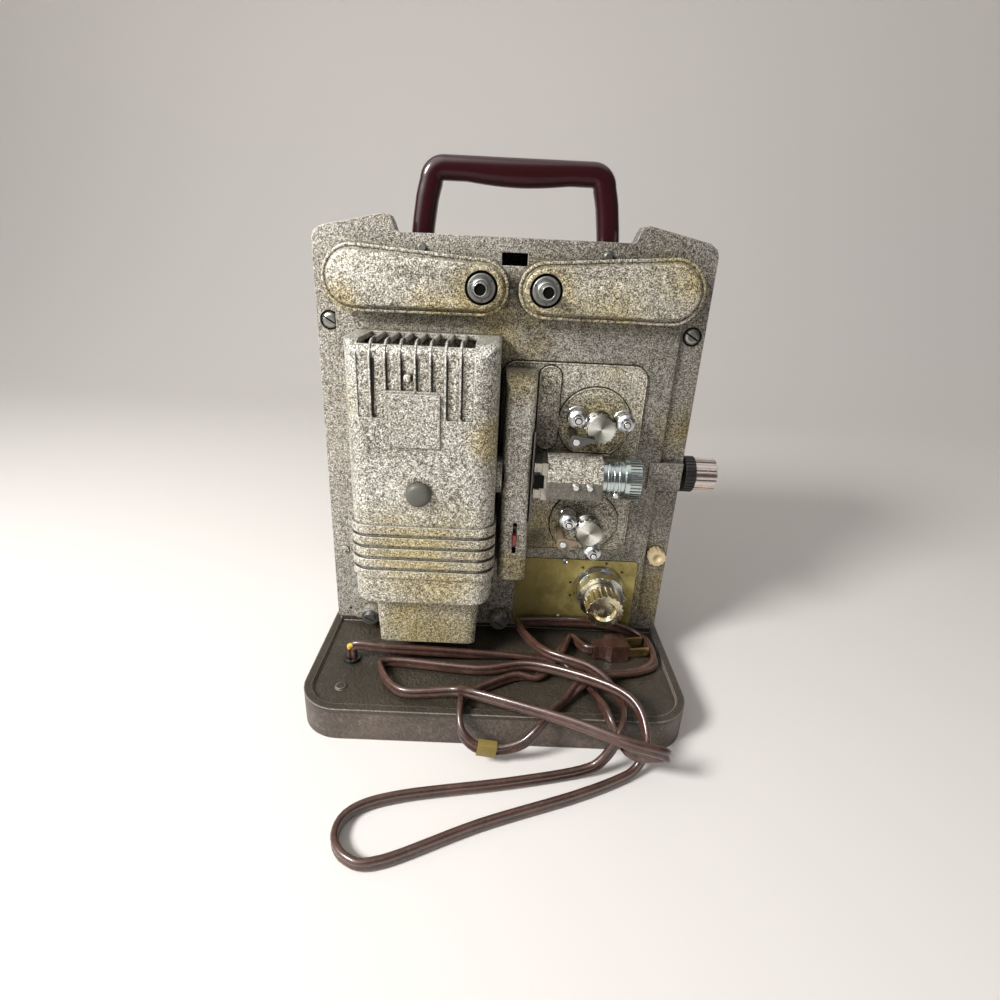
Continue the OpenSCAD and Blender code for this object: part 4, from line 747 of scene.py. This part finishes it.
ARM_PIVOT = Vector((97.3, 0, 277.3)) * MM
ARM_REACH = 77.7 * MM
ARM_DROP = 2.5 * MM
ARM_PIVOT_R = 19.6 * MM
ARM_TIP_R = 16.7 * MM
ARM_BACK = -3.3 * MM
ARM_FLANGE = 9.0 * MM
ARM_FACE = -16.2 * MM
ARM_STEPS = [(0.5, 0.6), (1.3, 0.0), (0.3, -0.6), (0.8, 0.0), (0.3, 0.8), (0.4, 1.9), (0.8, 0.9),
             (1.5, 0.3)]
RECESS_R = 10.0 * MM
RECESS_DEPTH = 1.2 * MM
BOSS_SHARES = [0.28, 0.42, 0.56, 0.70]
BOSS_R = 3.4 * MM
BOSS_SQUASH = 0.36
TRUNNION_R = 8.0 * MM
TRUNNION_FRONT = -5.3 * MM
TRUNNION_END = 9.0 * MM


def make_boss(spot):
    """A low round swelling on the face of an arm."""
    bpy.ops.mesh.primitive_uv_sphere_add(
        segments=32, ring_count=16, radius=BOSS_R,
        location=(spot.x, ARM_FACE + 0.9 * MM, spot.z + 0.6 * MM))
    boss = bpy.context.object
    boss.scale = (1, BOSS_SQUASH, 1)
    return settle(boss)


def make_arm(name):
    """The right-hand arm; its left twin is a mirrored copy."""
    lean = math.asin(ARM_DROP / ARM_REACH)
    along = Vector((-math.cos(lean), 0, -math.sin(lean)))
    tip = ARM_PIVOT + along * ARM_REACH
    back = (ARM_PIVOT.x, ARM_BACK, ARM_PIVOT.z)
    arm = settle(disc(96, ARM_PIVOT_R, back, (math.pi / 2, lean, 0)))
    shape = edit(arm)
    for v in shape.verts:
        v.select = (v.co - ARM_PIVOT).dot(along) > 0.4 * MM
    shape.select_flush_mode()
    share = ARM_TIP_R / ARM_PIVOT_R
    bpy.ops.transform.resize(value=(share, 1, share), center_override=back)
    bpy.ops.transform.translate(value=along * ARM_REACH)
    select_faces()
    extrude(y=-ARM_FLANGE)
    for thickness, depth in ARM_STEPS:
        bpy.ops.mesh.inset(thickness=thickness * MM, depth=depth * MM)
    close(arm)
    drill(arm, rod(64, RECESS_R, 2 * RECESS_DEPTH, (tip.x, ARM_FACE, tip.z)))
    finish_with(arm, "BEVEL", width=0.25 * MM, segments=2, limit_method="ANGLE",
                angle_limit=math.radians(28), use_clamp_overlap=False)
    bosses = [make_boss(ARM_PIVOT + along * ARM_REACH * share) for share in BOSS_SHARES]
    trunnion = rod(48, TRUNNION_R, TRUNNION_END - TRUNNION_FRONT,
                   (ARM_PIVOT.x, (TRUNNION_END + TRUNNION_FRONT) / 2, ARM_PIVOT.z))
    return smooth(join(name, [arm, trunnion, *bosses]), 35)


def mirrored(piece, name):
    """A copy of a piece on the other side of the middle plane."""
    twin = piece.copy()
    twin.data = piece.data.copy()
    scene.collection.objects.link(twin)
    twin.scale = (-1, 1, 1)
    settle(twin, name)
    edit(twin)
    return close(twin)


right_arm_casting = make_arm("right_arm_casting")
left_arm_casting = mirrored(right_arm_casting, "left_arm_casting")
place(right_arm_casting, "arm_right", "right_arm", "right_arm", slot="hammer_paint")
place(left_arm_casting, "arm_left", "left_arm", "left_arm", slot="hammer_paint")


# Reel spindles: a drilled flange, a hollow nose with a key, and rings of painted shade behind
# and inside

SPINDLE_X = 19.64
SPINDLE_Z = 274.8
FLANGE_FACE = -17.2
DIMPLE_CIRCLE = 7.3
DIMPLE_R = 0.55


def make_spindle(side, name):
    x = side * SPINDLE_X
    body = name + "_reel_drive"
    flange = turned(name + "_spindle_flange", x, SPINDLE_Z, [
        (3, -8), (3, -15.3), (8.4, -15.3), (8.4, -16.8), (8.0, FLANGE_FACE), (6.7, FLANGE_FACE),
        (6.3, -16.9), (5.9, -16.9), (5.4, -18.4), (4.8, -18.8), (3.2, -18.8)])
    for angle in (35, 155, 275):
        spot = Vector((x, FLANGE_FACE, SPINDLE_Z)) + outward(angle) * DIMPLE_CIRCLE
        drill(flange, rod(16, DIMPLE_R * MM, 1.4 * MM, spot * MM))
    place(flange, "steel", body, name + "_spindle", slot="steel")
    # a dark ring of painted shade in the arm's recess round the flange
    shade_ring = turned(name + "_spindle_washer", x, SPINDLE_Z, [
        (3, -15.06), (9.8, -15.06), (9.8, -15.26), (3, -15.26)])
    place(shade_ring, "shade_black", body, slot="black_plastic")
    # painted shade: a black lining inside the hollow nose
    bore = turned(name + "_spindle_bore", x, SPINDLE_Z, [(3.26, -24.6), (3.26, -35.0), (3.0, -35.2)])
    place(bore, "shade_black", body, slot="black_plastic")
    nose = turned(name + "_spindle_nose", x, SPINDLE_Z, [
        (3.9, -18), (3.9, -35.8), (3.7, -36.2), (3.45, -36.2), (3.3, -35.9), (3.3, -24.5),
        (0.3, -24.5)])
    place(nose, "chrome", body, slot="chrome")
    key = block(name + "_spindle_key", (x, -22.3, SPINDLE_Z + 2.2), (1.2, 10, 3.7), 0.2)
    place(key, "steel", body, slot="steel")


for side, name in SIDES:
    make_spindle(side, name)


# The lamp house: thin fins run over its front edge, a domed button closes it, and a rivet

FIN_COUNT = 7
FIN_HALF = 0.55
FIN_SHORT_END = 219.2
FIN_LONG_END = 203.0


def make_fin(x, foot):
    """A thin upright web in the plane of one x, from the top of the house down to its foot."""
    outline = [(-38, 245), (-38, 246.9), (-44, 246.9), (-48.4, 246.0), (-52.3, 243.4),
               (-54.9, 239.6), (-56.0, 235.2), (-56.0, foot + 1), (-55.2, foot), (-54, foot),
               (-54, 236), (-51, 241), (-44, 245)]
    fin = disc(len(outline), 0.01)
    for v, (y, z) in zip(edit(fin).verts, outline):
        v.co = Vector((x - FIN_HALF, y, z)) * MM
    select_faces()
    extrude(x=2 * FIN_HALF * MM)
    return finish_with(close(fin), "BEVEL", width=0.35 * MM, segments=2, limit_method="ANGLE",
                       angle_limit=math.radians(50))


fins = [make_fin(FIN_FIRST_X + i * FIN_PITCH, FIN_SHORT_END if 1 <= i <= 4 else FIN_LONG_END)
        for i in range(FIN_COUNT)]
place(join("lamp_house_fins", fins), "house", "chassis", slot="hammer_paint")

button = turned("lamp_house_button", -53, 155.33, [
    (2.5, -48), (2.5, -55.2), (7.6, -55.3), (7.8, -55.9), (7.8, -57.6), (7.4, -59), (6.4, -60.1),
    (5.0, -60.7), (2.6, -61.0), (0.4, -61.0)])
place(button, "latch", "lamp_house_catch", "lamp_house_latch", slot="latch_paint")

rivet = turned("lamp_house_rivet", -58.6, 226.3, [
    (2.5, -53.9), (2.5, -55.7), (2.1, -56.5), (1.3, -57.0), (0.2, -57.1)], vertices=32)
place(rivet, "house", "chassis", slot="hammer_paint")


# Dark rings of painted shade in the countersinks round the two slotted screws of the frame

for side, name in SIDES:
    cup = turned(name + "_screw_cup", side * FRAME_SCREW_X, FRAME_SCREW_Z, [
        (6.1, 0.6), (6.1, -0.12), (5.8, -0.2), (4.7, 0.05), (0.5, 0.05)], vertices=48)
    place(cup, "shade_black", "chassis", slot="black_plastic")


# Beads along the edges of the sprocket plate and its raised pads, and painted shade at their feet

PLATE_BACK = -3.0
PLATE_EDGE = -4.6
PAD_EDGE = -5.6
PAD_X = 59
UPPER_PAD_Z = 192
LOWER_PAD_Z = 118
BEAD_R = 0.6


def bead(name, outline, y, radius):
    """A thin raised bead along a closed outline of (x, z) points."""
    data = bpy.data.curves.new(name, "CURVE")
    data.dimensions = "3D"
    data.bevel_depth = radius * MM
    data.bevel_resolution = 3
    path = data.splines.new("POLY")
    path.points.add(len(outline) - 1)
    for point, (x, z) in zip(path.points, outline):
        point.co = (x * MM, y * MM, z * MM, 1)
    path.use_cyclic_u = True
    piece = bpy.data.objects.new(name, data)
    scene.collection.objects.link(piece)
    alone(piece)
    bpy.ops.object.convert(target="MESH")
    bpy.ops.object.shade_smooth()
    return bpy.context.object


def arc(x, z, radius, start, end, steps):
    turns = [math.radians(start + (end - start) * i / steps) for i in range(steps + 1)]
    return [(x + radius * math.cos(a), z + radius * math.sin(a)) for a in turns]


def round_corners(x0, z0, x1, z1, radius):
    return (arc(x1 - radius, z1 - radius, radius, 0, 90, 8)
            + arc(x0 + radius, z1 - radius, radius, 90, 180, 8)
            + arc(x0 + radius, z0 + radius, radius, 180, 270, 8)
            + arc(x1 - radius, z0 + radius, radius, 270, 360, 8))


def round_pad(z, low, radius):
    """Outline of a round pad of the sprocket plate with a flat lower edge."""
    dip = math.degrees(math.asin((z - low) / radius))
    return arc(PAD_X, z, radius, -dip, 180 + dip, 40)


beads = [
    bead("plate_bead", round_corners(-3.6, 95.9, 90.6, 230.6, 9.1), PLATE_EDGE, BEAD_R),
    bead("oblong_bead", round_corners(20.4, 173.1, 34.0, 228.6, 6.6), PAD_EDGE, BEAD_R),
    bead("upper_pad_bead", round_pad(UPPER_PAD_Z, 171.9, 23.9), PAD_EDGE, BEAD_R),
    bead("lower_pad_bead", round_pad(LOWER_PAD_Z, 96.9, 23.9), PAD_EDGE, BEAD_R),
]
place(join("sprocket_plate_beads", beads), "panel", "chassis", slot="hammer_paint")

# painted shade: dark lines at the feet of the plate and its pads
foot_shade_lines = [
    bead("plate_foot_shade", round_corners(-4.5, 95.0, 91.5, 231.5, 10), PLATE_BACK, 0.42),
    bead("oblong_foot_shade", round_corners(19.5, 172.2, 34.9, 229.5, 7.5), PLATE_EDGE, 0.38),
    bead("upper_pad_foot_shade", round_pad(UPPER_PAD_Z, 171.0, 24.8), PLATE_EDGE, 0.38),
    bead("lower_pad_foot_shade", round_pad(LOWER_PAD_Z, 96.0, 24.8), PLATE_EDGE, 0.38),
]
place(join("sprocket_plate_foot_shade", foot_shade_lines), "grime_and_shade", "chassis", slot="hammer_paint")


# Dark rings on the caps of the four film rollers

ROLLERS = [(44.78, 199.54), (75.65, 198.19), (45.32, 126.85), (64.19, 104.35)]

for i, (x, z) in enumerate(ROLLERS):
    ring = turned(f"roller_cap_ring_{i}", x, z, [
        (2.45, -30.4), (2.45, -30.88), (0.4, -30.88)], vertices=32)
    place(ring, "grime_and_shade", "chassis", slot="steel")


# Rings and a stub on the lens barrel, and painted shade in the middle of the film shoe

OPTIC_Y = -22
OPTIC_Z = 159.5
BARREL_INNER_R = 12.4
RING_CHAMFER = 0.3
BARREL_RINGS = [(66.8, 69.2, 13.6), (71.0, 71.8, 13.3), (74.2, 75.8, 13.7)]


def barrel_ring(i, x0, x1, radius):
    """A turned ring about the lens axis, from x0 to x1."""
    low = radius - RING_CHAMFER
    ring = turned(f"barrel_ring_{i}", 0, 0, [
        (BARREL_INNER_R, x0), (low, x0), (radius, x0 + RING_CHAMFER), (radius, x1 - RING_CHAMFER),
        (low, x1), (BARREL_INNER_R, x1)], vertices=96)
    ring.rotation_euler = (0, 0, -math.pi / 2)
    ring.location = Vector((0, OPTIC_Y, OPTIC_Z)) * MM
    return settle(ring)


barrel_rings = [barrel_ring(i, *ring) for i, ring in enumerate(BARREL_RINGS)]
place(join("lens_barrel_rings", barrel_rings), "lens", "lens", slot="chrome")

stub = turned("lens_stub", 73.2, 151.5, [
    (1.2, -30), (1.2, -33.4), (1.9, -33.4), (1.9, -34.6), (1.5, -35.0), (0.3, -35.1)], vertices=32)
place(stub, "chrome", "lens", slot="chrome")

# painted shade: a dark block in the hollow of the film shoe
shoe_hollow = block("film_shoe_hollow", (22.2, -35.4, OPTIC_Z), (6.6, 1.0, 9.0), 0.3)
place(shoe_hollow, "shade_black", "lens_carriage", slot="black_plastic")


# The control plate's marks and screws

COLLAR_CENTRE = Vector((76.3, 0, 62.7))
MARK_ANGLES = [198, 168, 127, 80, 43]
MARK_CIRCLE = 22.2
MARK_R = 1.6
MARK_FACE = -3.92
MARK_THICK = 0.1


def make_mark(i, angle):
    """A small printed triangle that points at the collar's centre."""
    mark = disc(3, MARK_R * MM)
    mark.rotation_euler = (math.pi / 2, -math.radians(angle) - math.pi / 2, 0)
    mark.location = (COLLAR_CENTRE + outward(angle) * MARK_CIRCLE + Vector((0, MARK_FACE, 0))) * MM
    settle(mark, f"plate_mark_{i}")
    edit(mark)
    select_faces()
    extrude(y=MARK_THICK * MM)
    return close(mark)


marks = [make_mark(i, angle) for i, angle in enumerate(MARK_ANGLES)]
place(join("plate_marks", marks), "print", "chassis", slot="black_plastic")

for i, (x, z) in enumerate([(48.9, 85.7), (48.0, 36.7)]):
    head = turned(f"plate_screw_{i}", x, z, [
        (2.2, -3.4), (2.2, -4.5), (1.9, -5.1), (1.2, -5.5), (0.2, -5.6)], vertices=32)
    place(head, "steel", "chassis", slot="steel")


# The carrying handle: a swept rounded bar that swells under the middle, notched for the fingers

HANDLE_FOOT_X = 59.5
HANDLE_FOOT_Z = 302.5
HANDLE_LEG = [(59.0, 307), (58.3, 312.5), (57.4, 318.5), (56.5, 324.5), (55.2, 330)]
HANDLE_TOP_Z = 342.0
HANDLE_CORNER_X = 46.0
HANDLE_BEND = 8.0
HANDLE_Y = 21.5
HANDLE_HALF_T = 7.0
HANDLE_HALF_W = 7.1
HANDLE_SIDES = 32
HANDLE_SQUARENESS = 0.75
SWELL = 1.1
SWELL_X = 32
NOTCH = 0.87


def handle_line():
    """Points (x, z) along the middle of the handle, from its left foot to its right one."""
    left = [(-HANDLE_FOOT_X, HANDLE_FOOT_Z)] + [(-x, z) for x, z in HANDLE_LEG]
    left += [(x, z + HANDLE_TOP_Z - HANDLE_BEND)
             for x, z in arc(-HANDLE_CORNER_X, 0, HANDLE_BEND, 180, 90, 9)]
    left += [(1.5 * k, HANDLE_TOP_Z) for k in range(-30, 0)]
    return left + [(0, HANDLE_TOP_Z)] + [(-x, z) for x, z in reversed(left)]


def handle_section():
    """Points round the bar's rounded-square section, each (across, thick) from -1 to 1."""
    turns = [2 * math.pi * i / HANDLE_SIDES for i in range(HANDLE_SIDES)]
    return [tuple(math.copysign(abs(c) ** HANDLE_SQUARENESS, c) for c in (math.cos(a), math.sin(a)))
            for a in turns]


def make_handle():
    line = handle_line()
    last = len(line) - 1
    section = handle_section()
    bar = disc(HANDLE_SIDES, 0.01)
    shape = edit(bar)
    ring = list(shape.verts)
    select_faces()
    for i, (x, z) in enumerate(line):
        if i:
            before = [v.index for v in ring]
            extrude(z=MM)
            shape = bmesh.from_edit_mesh(bar.data)
            shape.verts.ensure_lookup_table()
            ring = [next(e.other_vert(shape.verts[k]) for e in shape.verts[k].link_edges
                         if e.other_vert(shape.verts[k]).select) for k in before]
        behind = line[max(i - 1, 0)]
        ahead = line[min(i + 1, last)]
        along = Vector((ahead[0] - behind[0], 0, ahead[1] - behind[1])).normalized()
        if i in (0, last):
            along = Vector((0, 0, 1 if i == 0 else -1))
        across = Vector((-along.z, 0, along.x))
        swell = SWELL * math.cos(x * math.pi / (2 * SWELL_X)) if abs(x) < SWELL_X else 0.0
        notched = abs(x) < HANDLE_CORNER_X and i % 2
        for v, (u, w) in zip(ring, section):
            if notched and u * across.z > 0.35 and w > -0.2:
                u, w = u * NOTCH, w * NOTCH
            spot = Vector((x, HANDLE_Y, z)) + across * u * (HANDLE_HALF_W + swell)
            v.co = (spot + Vector((0, w * HANDLE_HALF_T, 0)) - across * swell) * MM
        shape.verts.index_update()
        bmesh.update_edit_mesh(bar.data)
    return settle(smooth(close(bar), 40), "carrying_handle")


place(make_handle(), "maroon", "chassis", "handle", slot="handle_plastic")


# The mains cord: centres (x, y, z) and the lean of its flat section in degrees

CORD_CENTRES = [
    (-103, -47.8, 17, 0), (-102.8, -47.8, 27, 0), (-100, -47.9, 34, 0), (-76, -48.5, 33, 0),
    (-30, -45, 29, 0), (44, -43, 24.3, 90), (63, -66, 24.2, 90), (70, -92, 28, 0),
    (73, -103, 26.5, 0), (79, -112, 18, 0), (87, -121, 17, 0), (101, -131, 29, 0),
    (76, -131, 37, 0), (43, -117, 38.5, 0), (-12, -94, 35, 0), (-27, -85, 29, 0),
    (-61, -84, 26, 0), (-78, -65, 26, 0), (-74, -54, 26, 0), (-12, -60, 27, 0),
    (28, -59, 31.5, 0), (82, -89, 36.3, 0), (94, -112, 24, 0), (86, -122, 5, 0),
    (52, -139, 4, 0), (-6, -161, 4, 0), (-56, -184, 4, 0), (-74, -183, 4, 0),
    (-83, -171, 4, 0), (-78, -156, 4, 0), (-53, -145, 4, 0), (10, -133, 4, 0),
    (54, -123, 5, 0), (68, -120, 13, 0), (77, -114, 28.5, 0), (84, -91, 27.5, 0),
    (81, -80, 28, 0), (65, -66, 36.5, 0), (34, -49, 36.5, 0), (17, -17, 34, 0),
    (24, -8, 33, 0), (80, -7.5, 33.5, 0), (111, -14, 27, 0), (116, -40, 26, 30),
    (103, -51, 24.5, 90), (66, -66, 29.4, 90), (45, -87, 26, 0), (36, -99, 28.2, 0),
    (28, -110, 25, 0), (18, -115, 17, 0), (3, -116, 12, 0), (-11, -116, 14, 0),
    (-20, -111, 21, 0), (-22, -99, 28.2, 0), (-18, -84, 26, 0), (12, -65, 26.2, 0),
    (30, -62, 25, 70), (45, -42, 29.3, 90), (56, -18, 27, 20), (63, -28, 28, 0),
    (66, -33.5, 29, 0), (71, -34.5, 29, 0),
]
CORD_LOWEST = 3.9
CORD_LIFT = 0.25
CORD_STEP = 3.0
LOBE_R = 2.1
LOBE_AT = 1.8
LOBE_STEPS = 9
LOBE_OVERLAP = 0.12


def between(before, start, end, after, t):
    """A point on the smooth curve through four of the cord's points."""
    return tuple(
        0.5 * (2 * b + (c - a) * t + (2 * a - 5 * b + 4 * c - d) * t * t
               + (3 * b - a - 3 * c + d) * t ** 3)
        for a, b, c, d in zip(before, start, end, after))


def cord_line():
    line = []
    last = len(CORD_CENTRES) - 1
    for i in range(last):
        quad = [CORD_CENTRES[max(i - 1, 0)], CORD_CENTRES[i], CORD_CENTRES[i + 1],
                CORD_CENTRES[min(i + 2, last)]]
        run = math.dist(quad[1][:3], quad[2][:3])
        steps = max(2, round(run / CORD_STEP))
        line += [between(*quad, s / steps) for s in range(steps)]
    return [(x, y, max(z, CORD_LOWEST), lean) for x, y, z, lean in line + [CORD_CENTRES[-1]]]


def twin_section():
    """Outline of the twin cord: two round lobes with a groove between them, as (thick, wide)."""
    meet = math.acos(-LOBE_AT / LOBE_R) - LOBE_OVERLAP
    turns = [meet - 2 * meet * i / LOBE_STEPS for i in range(LOBE_STEPS + 1)]
    lobe = [(LOBE_R * math.sin(a), LOBE_AT + LOBE_R * math.cos(a)) for a in turns]
    return lobe + [(-u, -v) for u, v in lobe]


def make_cord():
    """The cord's mesh, and its middle line in metres."""
    line = cord_line()
    last = len(line) - 1
    section = twin_section()
    path = [Vector((x, y, z + CORD_LIFT)) * MM for x, y, z, lean in line]
    verts = []
    for i, centre in enumerate(path):
        along = (path[min(i + 1, last)] - path[max(i - 1, 0)]).normalized()
        across = Vector((-along.y, along.x, 0)).normalized()
        over = along.cross(across)
        lean = math.radians(line[i][3])
        side = across * math.cos(lean) + over * math.sin(lean)
        wide = over * math.cos(lean) - across * math.sin(lean)
        verts += [centre + (side * u + wide * v) * MM for u, v in section]
    n = len(section)
    faces = [
        (i * n + k, i * n + (k + 1) % n, (i + 1) * n + (k + 1) % n, (i + 1) * n + k)
        for i in range(last) for k in range(n)
    ]
    faces += [tuple(reversed(range(n))), tuple(last * n + k for k in range(n))]
    mesh = bpy.data.meshes.new("mains_cord")
    mesh.from_pydata(verts, [], faces)
    mesh.update()
    piece = bpy.data.objects.new("mains_cord", mesh)
    scene.collection.objects.link(piece)
    edit(piece)
    return smooth(close(piece), 50), path


mains_cord, cord_path = make_cord()
dress(mains_cord, "rubber")
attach(mains_cord, "chassis")
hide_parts("cord")


# Floor, backdrop and lights, all in metres

SHEET_WIDTH = 8
SHEET_FRONT = -2.0
SHEET_BACK = 1.6
SHEET_HEIGHT = 3.0
SHEET_SWEEP = 0.8
KEY_AT = (-0.80, -0.62, 0.85)
KEY_TARGET = (0, 0, 0.15)
KEY_SIZE = 0.35
KEY_POWER = 19
SOFTBOX = Vector((-0.62, -0.5, 0.6)).normalized()


def make_stage():
    """One pale sheet that lies flat and sweeps up behind the object."""
    bpy.ops.object.select_all(action="DESELECT")
    bpy.ops.mesh.primitive_plane_add(size=1, location=(0, 0, 0))
    floor = bpy.context.object
    floor.name = "floor_sheet"
    shape = edit(floor)
    bpy.ops.mesh.select_mode(type="EDGE")
    for v in shape.verts:
        v.co.x *= SHEET_WIDTH
        v.co.y = SHEET_FRONT if v.co.y < 0 else SHEET_BACK
    for e in shape.edges:
        if all(v.co.y > 0 for v in e.verts):
            e.select = True
    bmesh.update_edit_mesh(floor.data)
    extrude(z=SHEET_HEIGHT)
    bpy.ops.object.mode_set(mode="OBJECT")
    finish_with(floor, "BEVEL", width=SHEET_SWEEP, segments=16)
    bpy.ops.object.shade_smooth()
    s = Shade("pale_sheet", Base_Color=(0.84, 0.80, 0.76), Roughness=0.85)
    seen = s.node("ShaderNodeLightPath", out="Is Camera Ray")
    s.set("Emission Color", (1.0, 0.97, 0.94))
    s.set("Emission Strength", seen * 0.03)
    floor.data.materials.append(s.material)


def add_key():
    data = bpy.data.lights.new("key", "AREA")
    data.shape = "DISK"
    data.size = KEY_SIZE
    data.energy = KEY_POWER
    lamp = bpy.data.objects.new("key", data)
    lamp.location = KEY_AT
    beam = Vector(KEY_TARGET) - Vector(KEY_AT)
    lamp.rotation_euler = beam.to_track_quat("-Z", "Y").to_euler()
    scene.collection.objects.link(lamp)


class Sky(Shade):
    """The world's shader; its place is the direction looked at."""

    def __init__(self, name):
        world = bpy.data.worlds.new(name)
        world.use_nodes = True
        scene.world = world
        self.tree = world.node_tree
        self.shader = self.tree.nodes["Background"]
        self.place = self.node("ShaderNodeTexCoord", out="Generated")


def add_sky():
    """Even light from all round, and a bright window and ceiling that only reflections show."""
    s = Sky("studio")
    window = s.node("ShaderNodeVectorMath", [s.place, SOFTBOX], out=1, operation="DOT_PRODUCT")
    glossy = s.node("ShaderNodeLightPath", out="Is Glossy Ray")
    softbox = window.step(0.70, 0.90)
    overhead = s.axis(2).step(0.60, 0.95)
    studio = softbox * 1.8 + overhead * 0.7 + 0.10
    plain = window.step(-0.5, 1.0) * 0.24 + 0.16
    s.set("Color", (1.0, 0.985, 0.965))
    s.set("Strength", plain * (1.0 - glossy) + studio * glossy)


make_stage()
add_sky()
add_key()
scene.view_settings.view_transform = "Standard"
